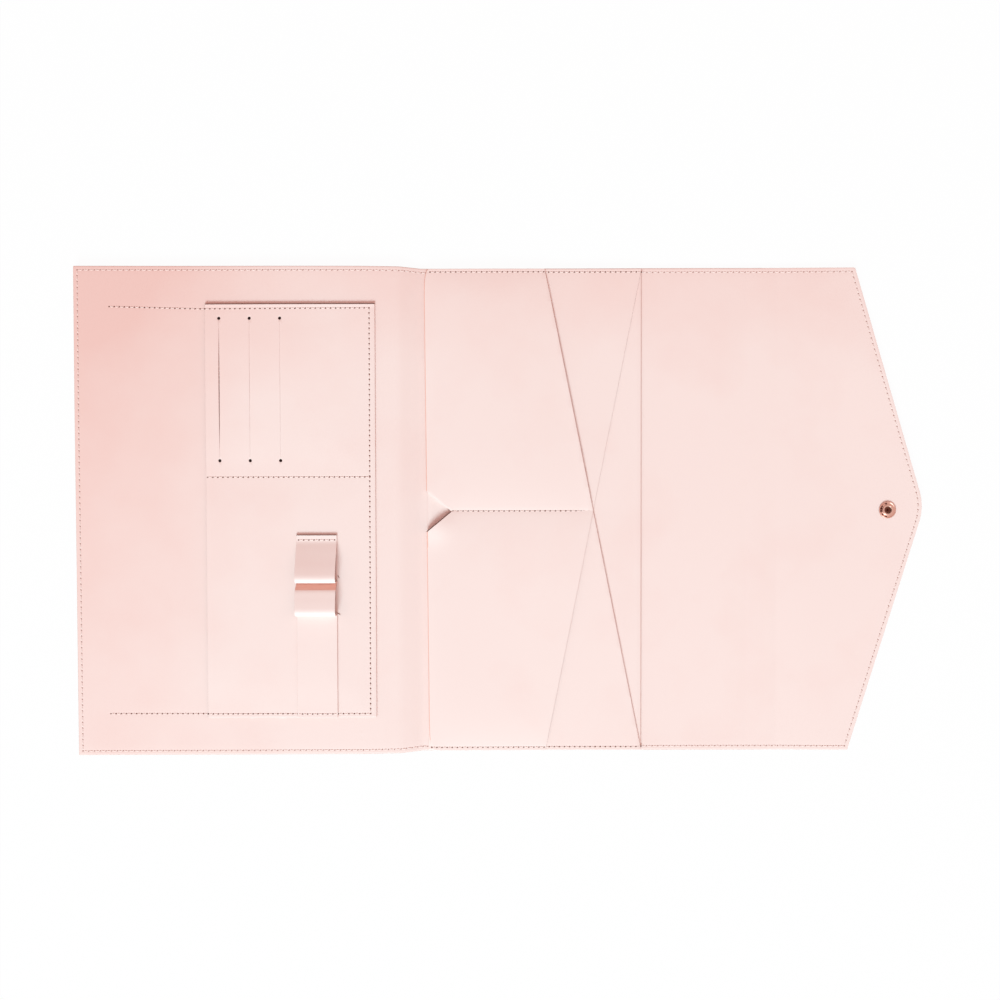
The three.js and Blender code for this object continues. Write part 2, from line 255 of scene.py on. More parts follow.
def show_mix(tree, output, share, first, second):
    """Sends a mix of two shaders to a new output node."""
    mix = add_node(tree, "MixShader", {0: share, 1: first.outputs[0], 2: second.outputs[0]})
    add_node(tree, output, {"Surface": mix.outputs[0]})


# Camera, light and table

def link_new(name, data):
    made = bpy.data.objects.new(name, data)
    bpy.context.scene.collection.objects.link(made)
    return made


def place_camera():
    data = bpy.data.cameras.new("camera")
    camera = link_new("camera", data)
    turn = Euler((-CAMERA_TILT, 0, CAMERA_ROLL))
    camera.location = VIEW_CENTRE + turn.to_matrix() @ Vector((0, 0, CAMERA_DISTANCE))
    camera.rotation_euler = turn
    data.sensor_width = SENSOR_WIDTH
    data.lens = SENSOR_WIDTH * CAMERA_DISTANCE / VIEW_WIDTH
    data.clip_start = NEAREST_SEEN
    data.clip_end = FURTHEST_SEEN
    bpy.context.scene.camera = camera


def place_key_light():
    """A round lamp beyond the clutch's lower edge, which lights it from there."""
    data = bpy.data.lights.new("key_from_below", "AREA")
    data.shape = "DISK"
    data.size = KEY_SIZE
    data.energy = KEY_POWER
    data.color = KEY_COLOUR
    lamp = link_new("key_from_below", data)
    lamp.location = KEY_PLACE
    lamp.rotation_mode = "QUATERNION"
    lamp.rotation_quaternion = (-KEY_PLACE).to_track_quat("-Z", "Y")


def light_world():
    world = bpy.data.worlds.new("studio")
    bpy.context.scene.world = world
    world.use_nodes = True
    tree = world.node_tree
    tree.nodes.clear()
    fill = add_node(tree, "Background", {"Color": (*FILL_COLOUR, 1), "Strength": 1.0})
    shown = add_node(tree, "Background", {"Color": WHITE, "Strength": 1.0})
    show_mix(tree, "OutputWorld", seen_directly(tree), fill, shown)


def lay_table():
    """A white table top that shows the clutch's shadow faintly."""
    bpy.ops.object.select_all(action="DESELECT")
    bpy.ops.mesh.primitive_plane_add(size=TABLE_SIZE, location=(0, 0, TABLE_LEVEL))
    table = bpy.context.object
    table.name = "table_top"
    material = bpy.data.materials.new("table_white")
    material.use_nodes = True
    tree = material.node_tree
    tree.nodes.clear()
    matte = add_node(tree, "BsdfDiffuse", {"Color": TABLE_COLOUR})
    glow = add_node(tree, "Emission", {"Strength": 1.0})
    share = math_node(tree, "MULTIPLY", seen_directly(tree), TABLE_GLOW)
    show_mix(tree, "OutputMaterial", share, matte, glow)
    table.data.materials.append(material)


# Finishes

PEBBLE_SCALE = 1500
PORE_SCALE = 5200
CLOUD_SCALE = 16
GLOSS_SCALE = 90

# Where the painted shade starts to deepen the colour and where it is deepest, along X or Y
SHADE_LEFT = (-0.125, -0.285)
SHADE_ALONG = (-0.15, 0.16)
SHADE_TOP = (0.07, 0.17)
SHADE_STRENGTH = 0.62
LEATHER_COAT = {"Specular IOR Level": 0.27, "Sheen Weight": 0.05, "Sheen Roughness": 0.4}


def make_grain_group():
    """Fine pebbled grain of smooth leather: a height, and masks that shift colour and gloss.

    Painted shade rises towards the cover's free edge and the upper edge, standing in for light that
    falls off there, and random clouds are added to it.
    """
    group = bpy.data.node_groups.new("leather_grain", "ShaderNodeTree")
    for label, value in (("Pebble", 0.7), ("Pores", 0.25)):
        added = group.interface.new_socket(label, in_out="INPUT", socket_type="NodeSocketFloat")
        added.default_value = value
    for label in ("Height", "Cloud", "Gloss", "Depth"):
        group.interface.new_socket(label, in_out="OUTPUT", socket_type="NodeSocketFloat")
    given = group.nodes.new("NodeGroupInput").outputs
    result = group.nodes.new("NodeGroupOutput").inputs
    coordinates = object_coordinates(group)
    inputs = {"Vector": coordinates, "Scale": PEBBLE_SCALE, "Smoothness": 0.9}
    cells = add_node(group, "TexVoronoi", inputs, feature="SMOOTH_F1")
    pebble = math_node(group, "MULTIPLY", cells.outputs["Distance"], given["Pebble"])
    pores = noise_node(group, coordinates, PORE_SCALE, 2, 0.55)
    pores = math_node(group, "MULTIPLY", pores, given["Pores"])
    cloud = noise_node(group, coordinates, CLOUD_SCALE, 4, 0.55)
    place = add_node(group, "SeparateXYZ", {"Vector": coordinates}).outputs
    # Painted shade: darker towards the cover's free edge and the upper edge, standing in for light
    # falling off there
    left = remap(group, place["X"], *SHADE_LEFT, easing="SMOOTHSTEP")
    along = remap(group, place["Y"], *SHADE_ALONG, easing="SMOOTHSTEP")
    top = remap(group, place["Y"], *SHADE_TOP, easing="SMOOTHSTEP")
    left = math_node(group, "MULTIPLY", left, math_node(group, "ADD", along, 0.5))
    depth = math_node(group, "ADD", left, math_node(group, "MULTIPLY", top, 0.6))
    depth = math_node(group, "MULTIPLY", depth, SHADE_STRENGTH)
    speck = math_node(group, "MULTIPLY", math_node(group, "SUBTRACT", cloud, 0.5), 0.7)
    feed(group, math_node(group, "ADD", depth, speck), result["Depth"])
    feed(group, math_node(group, "ADD", pebble, pores), result["Height"])
    feed(group, cloud, result["Cloud"])
    feed(group, noise_node(group, coordinates, GLOSS_SCALE, 5, 0.55), result["Gloss"])
    return group


def start_material(name):
    material = bpy.data.materials.new(name)
    material.use_nodes = True
    return material, material.node_tree, material.node_tree.nodes["Principled BSDF"].inputs


def leather(name, pale, deep, roughness, grain_height, clouded=False):
    """Blush leather with fine grain and a soft sheen.

    Its colour shifts from pale to deep in clouds, or with the painted shade, which deepens it
    towards the cover's free edge and the upper edge.
    """
    material, tree, shader = start_material(name)
    grain = add_node(tree, "Group", node_tree=GRAIN).outputs
    share = spread(tree, grain["Cloud"]) if clouded else grain["Depth"]
    feed(tree, mix_colours(tree, pale, deep, share), shader["Base Color"])
    gloss = spread(tree, grain["Gloss"], roughness - 0.05, roughness + 0.06)
    feed(tree, gloss, shader["Roughness"])
    feed(tree, bump(tree, grain["Height"], 0.5, grain_height), shader["Normal"])
    for label, value in LEATHER_COAT.items():
        shader[label].default_value = value
    return material


def plain_finish(name, colour, roughness, bump_scale, bump_height, metallic=0.0):
    """A finish of one colour, with a fine noise in its gloss and its surface."""
    material, tree, shader = start_material(name)
    noise = noise_node(tree, object_coordinates(tree), bump_scale, 4)
    shade = [0.82 * channel for channel in colour]
    feed(tree, mix_colours(tree, colour, shade, spread(tree, noise)), shader["Base Color"])
    feed(tree, spread(tree, noise, roughness - 0.05, roughness + 0.08), shader["Roughness"])
    feed(tree, bump(tree, noise, 0.4, bump_height), shader["Normal"])
    shader["Metallic"].default_value = metallic
    return material


def metal(name, colour, roughness=0.36, bump_scale=900, bump_height=0.004 * MM):
    return plain_finish(name, colour, roughness, bump_scale, bump_height, 1.0)


# Painted shade in dark spots round the socket's groove: each spot's angle in degrees and radius in
# millimetres
SHADE_SPOTS = (
    (104, 0.72), (148, 0.62), (168, 0.95), (190, 0.9), (221, 0.6), (257, 0.68), (301, 0.3),
)


def with_shade_spots(name, colour, dark):
    """Rose metal with painted shade in dark spots round the groove, away from the flap's tip."""
    material = metal(name, colour)
    tree = material.node_tree
    coordinates = object_coordinates(tree)
    spots = 0.0
    for angle, radius in SHADE_SPOTS:
        turn = math.radians(angle)
        centre = (SNAP_X + GROOVE_RADIUS * math.cos(turn), GROOVE_RADIUS * math.sin(turn), SNAP_Z)
        reach = add_node(tree, "VectorMath", {0: coordinates, 1: centre}, operation="DISTANCE")
        reach = reach.outputs["Value"]
        spot = remap(tree, reach, (radius + 0.25) * MM, (radius - 0.15) * MM)
        spots = math_node(tree, "MAXIMUM", spots, spot)
    ragged = remap(tree, noise_node(tree, coordinates, 900), 0.3, 0.5, 0.6, 1.0)
    mask = math_node(tree, "MULTIPLY", spots, ragged)
    shader = tree.nodes["Principled BSDF"].inputs
    feed(tree, mix_colours(tree, colour, dark, mask), shader["Base Color"])
    return material


GRAIN = make_grain_group()
OUTER_LEATHER = leather(
    "outer_leather", (0.93, 0.74, 0.69), (0.92, 0.68, 0.62), 0.46, 0.07 * MM, clouded=True
)
# The lining and pocket leathers go towards their deep colour with the painted shade
LINING_LEATHER = leather(
    "lining_leather", (0.95, 0.768, 0.722), (0.89, 0.58, 0.525), 0.5, 0.05 * MM
)
POCKET_LEATHER = leather(
    "pocket_leather", (0.95, 0.773, 0.727), (0.90, 0.59, 0.535), 0.48, 0.05 * MM
)
# Leather painted darker as shade: on the lower pen loop's flank by the seam between the loops, and
# on the pocket's fold where it turns
PAINTED_SHADE_LEATHER = leather(
    "painted_shade_leather", (0.93, 0.56, 0.47), (0.88, 0.50, 0.41), 0.55, 0.05 * MM, clouded=True
)
CUT_EDGE = plain_finish("cut_edge", (0.78, 0.46, 0.38), 0.8, 2600, 0.05 * MM)
# Dark brown edge finish: partly a burnished edge and partly painted shade along the edges
BURNISHED_AND_SHADED_EDGE = plain_finish("burnished_and_shaded_edge", (0.42, 0.19, 0.14), 0.7, 2600, 0.04 * MM)
# Near-black edge finish that is painted shadow, for dark lines at edges
PAINTED_SHADOW_EDGE = plain_finish("painted_shadow_edge", (0.15, 0.06, 0.045), 0.8, 2600, 0.04 * MM)
THREAD = plain_finish("thread", (0.95, 0.765, 0.715), 0.7, 4000, 0.03 * MM)
# Dark marks at the needle holes are painted shade of the holes; where the thread fills them they
# are lighter
NEEDLE_HOLE_SHADE = plain_finish("needle_hole_shade", (0.25, 0.105, 0.08), 0.9, 3000, 0.02 * MM)
FILLED_HOLE_SHADE = plain_finish("needle_hole_filled_shade", (0.54, 0.31, 0.27), 0.9, 3000, 0.02 * MM)
# Near-black discs of painted shade under the card slots' holes
HOLE_SHADE = plain_finish("hole_shade", (0.035, 0.016, 0.014), 0.9, 3000, 0.02 * MM)
ROSE_METAL = metal("rose_metal", (0.74, 0.39, 0.31))
# Near-black metal that is painted shade, for the press stud's parts down in its holes
DARK_HOLE_METAL = metal("rose_metal_hole_shade", (0.16, 0.045, 0.03), 0.36, 500, 0.01 * MM)
# The socket's groove and bore: rose metal a little darker, with spots of painted shade
SHADED_GROOVE_METAL = with_shade_spots("rose_metal_shade_spots", (0.66, 0.33, 0.26), (0.07, 0.015, 0.012))
SPRING_BRONZE = metal("spring_bronze", (0.40, 0.22, 0.17), 0.3, 1500)


# Modelling steps

CUTTER_REACH = 5 * MM
JOIN_TOLERANCE = 0.05 * MM
FACE = 0
RIM = 1


def start_grid(name, left, right, low, high, cell=CELL):
    """A flat grid of squares over that rectangle at z = 0, left selected in edit mode."""
    bpy.ops.object.select_all(action="DESELECT")
    columns = max(2, round((right - left) / cell))
    rows = max(2, round((high - low) / cell))
    bpy.ops.mesh.primitive_grid_add(x_subdivisions=columns, y_subdivisions=rows, size=1)
    piece = bpy.context.object
    piece.name = piece.data.name = name
    piece.scale = (right - left, high - low, 1)
    piece.location = ((left + right) / 2, (low + high) / 2, 0)
    bpy.ops.object.transform_apply(location=True, rotation=True, scale=True)
    bpy.ops.object.mode_set(mode="EDIT")
    return piece


def cut(point, normal, trim):
    """Cuts what is in edit mode along a vertical plane, and may trim the side it faces."""
    bpy.ops.mesh.select_all(action="SELECT")
    bpy.ops.mesh.bisect(
        plane_co=(point[0], point[1], 0),
        plane_no=(normal[0], normal[1], 0),
        clear_outer=trim,
        threshold=1e-6,
    )


def cut_round(centre, radius, start, end, steps=5):
    """Trims a corner to an arc, from its tangents between two angles in degrees."""
    for step in range(steps):
        angle = math.radians(start + (end - start) * (step + 0.5) / steps)
        normal = (math.cos(angle), math.sin(angle))
        cut((centre[0] + radius * normal[0], centre[1] + radius * normal[1]), normal, True)


def cut_seam(first, last):
    """Adds fine rows of edges along a seam, for its channel."""
    along = (Vector(last) - Vector(first)).normalized()
    normal = Vector((-along.y, along.x))
    for offset in SEAM_ROWS:
        cut(Vector(first) + normal * offset * MM, normal, False)


def leave_edit():
    bpy.ops.object.mode_set(mode="OBJECT")


def make_active(piece):
    bpy.ops.object.select_all(action="DESELECT")
    piece.select_set(True)
    bpy.context.view_layer.objects.active = piece


def apply_modifier(piece, kind, **settings):
    make_active(piece)
    modifier = piece.modifiers.new(kind.lower(), kind)
    for key, value in settings.items():
        setattr(modifier, key, value)
    bpy.ops.object.modifier_apply(modifier=modifier.name)


def add_finishes(mesh, *finishes):
    """Gives a mesh these finishes after those that it has, and returns their numbers."""
    first = len(mesh.materials)
    for finish in finishes:
        mesh.materials.append(finish)
    return range(first, len(mesh.materials))


def thicken(piece, thickness, face):
    """Gives the sheet its thickness below its face, with the cut edge as its second finish."""
    add_finishes(piece.data, face, CUT_EDGE)
    apply_modifier(
        piece,
        "SOLIDIFY",
        thickness=thickness,
        offset=-1,
        use_even_offset=True,
        material_offset_rim=RIM,
    )


def cut_out(piece, cutter):
    """Cuts the cutter's shape out of the piece and deletes the cutter."""
    apply_modifier(piece, "BOOLEAN", operation="DIFFERENCE", object=cutter, solver="EXACT")
    bpy.data.objects.remove(cutter)


def round_cutter(name, x, y, radius, sides=32):
    bpy.ops.mesh.primitive_cylinder_add(vertices=sides, radius=1, depth=1, location=(x, y, 0))
    cutter = bpy.context.object
    cutter.name = name
    cutter.scale = (radius, radius, 2 * CUTTER_REACH)
    return cutter


def prism(name, corners):
    """A closed upright prism over those corners, to cut with."""
    count = len(corners)
    points = [(x, y, z) for z in (-CUTTER_REACH, CUTTER_REACH) for x, y in corners]
    sides = [(i, (i + 1) % count, count + (i + 1) % count, count + i) for i in range(count)]
    mesh = bpy.data.meshes.new(name)
    bottom = tuple(reversed(range(count)))
    top = tuple(range(count, 2 * count))
    mesh.from_pydata(points, [], [bottom, top, *sides])
    return link_new(name, mesh)


def move_points(piece, rule):
    """Moves every vertex by a rule that takes and returns arrays of x, y and z."""
    mesh = piece.data
    flat = np.empty(len(mesh.vertices) * 3)
    mesh.vertices.foreach_get("co", flat)
    x, y, z = rule(*flat.reshape(-1, 3).T)
    mesh.vertices.foreach_set("co", np.stack([x, y, z], axis=1).reshape(-1))
    mesh.update()


def round_edges(piece, joined_at, width):
    """Rounds the sheet's edges, apart from ends that carry on into the next piece at those x."""
    mesh = piece.data
    edit = bmesh.new()
    edit.from_mesh(mesh)
    weight = edit.edges.layers.float.new("bevel_weight_edge")
    for edge in edit.edges:
        if len(edge.link_faces) != 2 or edge.calc_face_angle() < math.radians(50):
            continue
        ends = [vertex.co.x for vertex in edge.verts]
        if any(all(abs(x - end) < JOIN_TOLERANCE for x in ends) for end in joined_at):
            continue
        edge[weight] = 1
    edit.to_mesh(mesh)
    edit.free()
    apply_modifier(piece, "BEVEL", width=width, segments=2, limit_method="WEIGHT", material=RIM)


def finish_sheet(piece, nodes, joined_at=(), width=EDGE_BEVEL):
    """Gives a sheet soft edges and smooth shading, and hides the parts that it stands for."""
    round_edges(piece, joined_at, width)
    make_active(piece)
    bpy.ops.object.shade_smooth_by_angle(angle=math.radians(55))
    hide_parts(*nodes)
    return piece


def refinish(piece, pick):
    """Moves faces to another of the piece's finishes, by their middle, normal and being an edge."""
    for face in piece.data.polygons:
        choice = pick(face.center, face.normal, face.material_index == RIM)
        if choice is not None:
            face.material_index = choice


# Shape of the open clutch

def lining_face(x):
    """Height of the lining's face across the folds, with the folds rounded."""
    knots = [COVER_LOW.x, COVER_FOLD.x, SPINE_FOLD.x, ROOT_FOLD.x, FLAP_FOLD.x, TIP]
    tip_height = FLAP_FOLD.z + (TIP - FLAP_FOLD.x) * math.tan(FLAP_TILT)
    heights = [COVER_FOLD.z, COVER_FOLD.z, SPINE_FOLD.z, ROOT_FOLD.z, FLAP_FOLD.z, tip_height]
    steps = np.linspace(-FOLD_ROUNDING, FOLD_ROUNDING, 9)
    face = np.mean([np.interp(x + step, knots, heights) for step in steps], axis=0)
    for fold in (ROOT_FOLD, FLAP_FOLD):
        face = face - FLAP_CREASE * np.exp(-(((x - fold.x) / FOLD_ROUNDING) ** 2))
    return face


def half_height(x):
    """Half the clutch's height, which flares from the back to the cover."""
    places = [COVER_LOW.x, COVER_FOLD.x - 25 * MM, COVER_FOLD.x, SPINE_FOLD.x]
    cover = COVER_HIGH.y
    return np.interp(x, places, [cover, cover - 0.5 * MM, cover - 0.9 * MM, BACK_HIGH.y])


def lie(x, y):
    """Where a point of the flap lies once its upper corner reaches out and its tip sits higher."""
    reach = np.clip((x - FLAP_FOLD.x) / (SHOULDER - FLAP_FOLD.x), 0, 1)
    past = np.clip((x - SHOULDER) / (TIP - SHOULDER), 0, 1)
    return x + FLAP_LEAN * reach * y / BACK_HIGH.y, y + TIP_RISE * past


def drape(x, y):
    """Slow waves that stiff leather keeps when it lies open."""
    wave = 0.30 * np.sin(x / 0.047 + 0.6) * np.cos(y / 0.061 - 0.4)
    wave += 0.16 * np.sin(x / 0.021 + y / 0.083) + 0.12 * np.cos(y / 0.029 + x / 0.11)
    crease = np.minimum(np.abs(x - COVER_FOLD.x), np.abs(x - SPINE_FOLD.x))
    crease = np.minimum(crease, np.minimum(np.abs(x - ROOT_FOLD.x), np.abs(x - FLAP_FOLD.x)))
    return wave * MM * np.clip(crease / (25 * MM), 0, 1)


def distance_to(x, y, path):
    """Distance from each point to a path of straight stretches."""
    nearest = np.full(np.shape(x), 1.0)
    for (x0, y0), (x1, y1) in zip(path, path[1:]):
        run_x, run_y = x1 - x0, y1 - y0
        share = ((x - x0) * run_x + (y - y0) * run_y) / (run_x**2 + run_y**2)
        share = np.clip(share, 0, 1)
        nearest = np.minimum(nearest, np.hypot(x - x0 - share * run_x, y - y0 - share * run_y))
    return nearest


def channel(x, y, paths, depth):
    """How far the seams on those paths pull the leather in."""
    nearest = np.min([distance_to(x, y, path) for path in paths], axis=0)
    return depth * np.exp(-((nearest / CHANNEL_WIDTH) ** 2))


def edge_seam():
    """The seam round the whole clutch, starting from the cover's lower left corner."""
    left = COVER_LOW.x + SEAM_INSET
    places = [left, COVER_FOLD.x - 25 * MM, COVER_FOLD.x, SPINE_FOLD.x, SEAM_SHOULDER]
    lower = [(x, SEAM_INSET - float(half_height(x))) for x in places]
    reach = TIP_RADIUS - 0.86 * SEAM_INSET
    for share in (-1, -0.6, -0.2, 0):
        turn = share * FLAP_SLOPE
        lower.append((TIP_CENTRE + reach * math.cos(turn), reach * math.sin(turn)))
    upper = [(x, -y) for x, y in reversed(lower)]
    return [*lower[:-1], *upper[1:], lower[0]]


EDGE_SEAM = edge_seam()
ORGANIZER_SEAM = [
    (ORGANIZER_SEAM_LEFT, ORGANIZER_SEAM_TOP + 1.5 * MM),
    (ORGANIZER_LEFT, ORGANIZER_SEAM_TOP - 0.2 * MM),
    (ORGANIZER_SEAM_RIGHT, ORGANIZER_SEAM_TOP + 0.2 * MM),
    (ORGANIZER_SEAM_RIGHT - 0.3 * MM, ORGANIZER_SEAM_BOTTOM),
    (ORGANIZER_SEAM_LEFT - 2 * MM, ORGANIZER_SEAM_BOTTOM),
]
CARD_SEAM = [(ORGANIZER_LEFT + 1 * MM, CARD_DIVIDER), (ORGANIZER_SEAM_RIGHT, CARD_DIVIDER)]
FOLD_EDGE = POCKET_LOW.x
DIVIDER_SEAM = [(FOLD_EDGE + NOTCH_DEPTH + 1.2 * MM, 0), (MOUTH_TIP - 1.2 * MM, 0)]
PANEL_SEAMS = [EDGE_SEAM, ORGANIZER_SEAM]


def lining_height(x, y):
    """Height of the lining's face, with its waves and the seams' channels."""
    return lining_face(x) + drape(x, y) - channel(x, y, PANEL_SEAMS, CHANNEL_DEPTH)


def height_at(height, x, y):
    """A height rule's value at one point."""
    return float(height(np.array([x]), np.array([y]))[0])


def outer_height(x, y):
    """Height of the outer leather's hidden face."""
    under = -LINING_THICKNESS - LAYER_GAP
    return lining_face(x) + drape(x, y) + under + channel(x, y, PANEL_SEAMS, UNDER_CHANNEL)


# Outer leather and lining, in four stretches that each bend at one fold

def cover_corners():
    half = COVER_HIGH.y
    centre_x = COVER_LOW.x + CORNER_RADIUS
    cut_round((centre_x, half - CORNER_RADIUS), CORNER_RADIUS, 90, 180)
    cut_round((centre_x, CORNER_RADIUS - half), CORNER_RADIUS, 180, 270)


def flap_corners():
    """Trims the flap to its point, with a rounded tip and shoulders."""
    half = BACK_HIGH.y
    lean = math.degrees(FLAP_SLOPE)
    for side in (1, -1):
        normal = (math.cos(FLAP_SLOPE), side * math.sin(FLAP_SLOPE))
        cut((SHOULDER, side * half), normal, True)
        corner = (SHOULDER - SHOULDER_RADIUS * 0.55, side * (half - SHOULDER_RADIUS))
        cut_round(corner, SHOULDER_RADIUS, side * lean, side * 90)
    cut_round((TIP_CENTRE, 0), TIP_RADIUS, -lean, lean, 9)
    for side in (1, -1):
        shoulder = (SEAM_SHOULDER, side * (half - SEAM_INSET))
        cut_seam(shoulder, (TIP - 1.04 * SEAM_INSET, 0))


def bend_at(piece, pair, fold):
    """Bakes the piece's placement into its mesh."""
    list(pair)
    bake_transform(piece)


def panel_stretch(label, left, right, layer, joined_at, pair, fold, trims):
    """One stretch of the outer leather or the lining, which crosses one fold."""
    half = COVER_HIGH.y if left < MID_BACK else BACK_HIGH.y
    piece = start_grid(f"{layer}_leather_{label}", left, right, -half, half)
    for trim in trims:
        trim()
    for offset in np.linspace(-BEND_REACH, BEND_REACH, 9):
        cut((fold.x + offset, 0), (1, 0), False)
    seam_half = half - SEAM_INSET
    cut_seam((left, seam_half), (right, seam_half))
    cut_seam((left, -seam_half), (right, -seam_half))
    if joined_at == (right,):
        cut_seam((COVER_LOW.x + SEAM_INSET, -half), (COVER_LOW.x + SEAM_INSET, half))
        for y in (ORGANIZER_SEAM_TOP, ORGANIZER_SEAM_BOTTOM):
            cut_seam((left, y), (right, y))
    leave_edit()
    outer = layer == "outer"
    sheet = (OUTER_THICKNESS, OUTER_LEATHER) if outer else (LINING_THICKNESS, LINING_LEATHER)
    thicken(piece, *sheet)
    if right > TIP:
        radius = CAP_POST_RADIUS if outer else SOCKET_BARREL
        moved = float(lie(SNAP_X, 0)[1])
        cut_out(piece, round_cutter("stud_hole", SNAP_X, -moved, radius + STUD_ROOM))
    height = outer_height if outer else lining_height

    def settle(x, y, z):
        y = y * half_height(x) / half
        return *lie(x, y), z + height(x, y)

    move_points(piece, settle)
    finish_sheet(piece, [f"{layer}_{panel}" for panel in pair], joined_at)
    bend_at(piece, pair, fold)


# Each stretch's name, and the two bodies on either side of its fold, and that fold
BENDS = {
    "cover": (("cover", "spine"), COVER_FOLD),
    "spine": (("spine", "back"), SPINE_FOLD),
    "back": (("back", "fold"), ROOT_FOLD),
    "flap": (("fold", "flap"), FLAP_FOLD),
}


def make_panels():
    stretches = [
        ("cover", COVER_LOW.x, MID_SPINE, (MID_SPINE,), [cover_corners]),
        ("spine", MID_SPINE, MID_BACK, (MID_SPINE, MID_BACK), []),
        ("back", MID_BACK, MID_FOLD, (MID_BACK, MID_FOLD), []),
        ("flap", MID_FOLD, TIP + 2 * MM, (MID_FOLD,), [flap_corners]),
    ]
    for label, left, right, joined_at, trims in stretches:
        for layer in ("outer", "lining"):
            panel_stretch(label, left, right, layer, joined_at, *BENDS[label], trims)


# Pockets on the back

def front_mouth(y):
    return MOUTH_TIP - MOUTH_CUT * np.abs(y) / BACK_HIGH.y


def rear_mouth(y):
    return MOUTH_TIP + MOUTH_CUT * np.abs(y) / BACK_HIGH.y


def pocket_puff(x, y):
    """How far the front leaf stands up between the divider's seam, the edge seam and the fold."""
    from_edge = np.clip(BACK_HIGH.y - SEAM_INSET - np.abs(y), 0, None)
    across = (1 - np.exp(-np.abs(y) / PUFF_REACH)) * (1 - np.exp(-from_edge / PUFF_REACH_EDGE))
    from_fold = np.clip(x - FOLD_EDGE, 0, None)
    fade = 1 - 0.55 * from_fold / (MOUTH - FOLD_EDGE)
    along = (1 - np.exp(-from_fold / PUFF_REACH_FOLD)) * fade
    return POCKET_PUFF * across * along


def mouth_flare(x, y, mouth, lift):
    """A pocket's mouth stands up a little from what lies below it."""
    back = np.clip(mouth - x, 0, None)
    return lift * np.exp(-back / MOUTH_REACH) * (1 - (y / BACK_HIGH.y) ** 2)


def pocket_layer(x, y, top, share):
    """Height of a pocket sheet's upper face: its place in the stack, and its share of the puff."""
    return lining_face(x) + drape(x, y) + top + share * pocket_puff(x, y)


DOCUMENT_TOP = LAYER_GAP + POCKET_THICKNESS
REAR_TOP = DOCUMENT_TOP + LAYER_GAP + POCKET_THICKNESS
FRONT_TOP = REAR_TOP + LAYER_GAP + POCKET_THICKNESS
DOCUMENT_SHARE = 0.18
REAR_SHARE = 0.42
POCKET_SEAM_HALF = BACK_HIGH.y - SEAM_INSET


def seam_dip(x, y):
    """The channels that the edge seam and the divider's seam press into the pocket."""
    return channel(x, y, [EDGE_SEAM, DIVIDER_SEAM], CHANNEL_DEPTH)


def make_document_pocket():
    low, high = DOCUMENT_LOW, DOCUMENT_HIGH
    piece = start_grid("document_pocket_sheet", low.x, high.x, low.y, high.y)
    for side in (1, -1):
        cut_seam((low.x, side * POCKET_SEAM_HALF), (high.x, side * POCKET_SEAM_HALF))
    leave_edit()
    thicken(piece, POCKET_THICKNESS, POCKET_LEATHER)

    def settle(x, y, z):
        flare = mouth_flare(x, y, MOUTH, DOCUMENT_FLARE)
        return x, y, z + pocket_layer(x, y, DOCUMENT_TOP, DOCUMENT_SHARE) + flare - seam_dip(x, y)

    move_points(piece, settle)
    finish_sheet(piece, ["document_pocket"], width=MOUTH_BEVEL)

    def pick(centre, normal, edge):
        upper_end = edge and normal.z > 0.3 and centre.x < MOUTH - 1 * MM
        return FACE if upper_end else None

    refinish(piece, pick)
    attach(piece, "back")


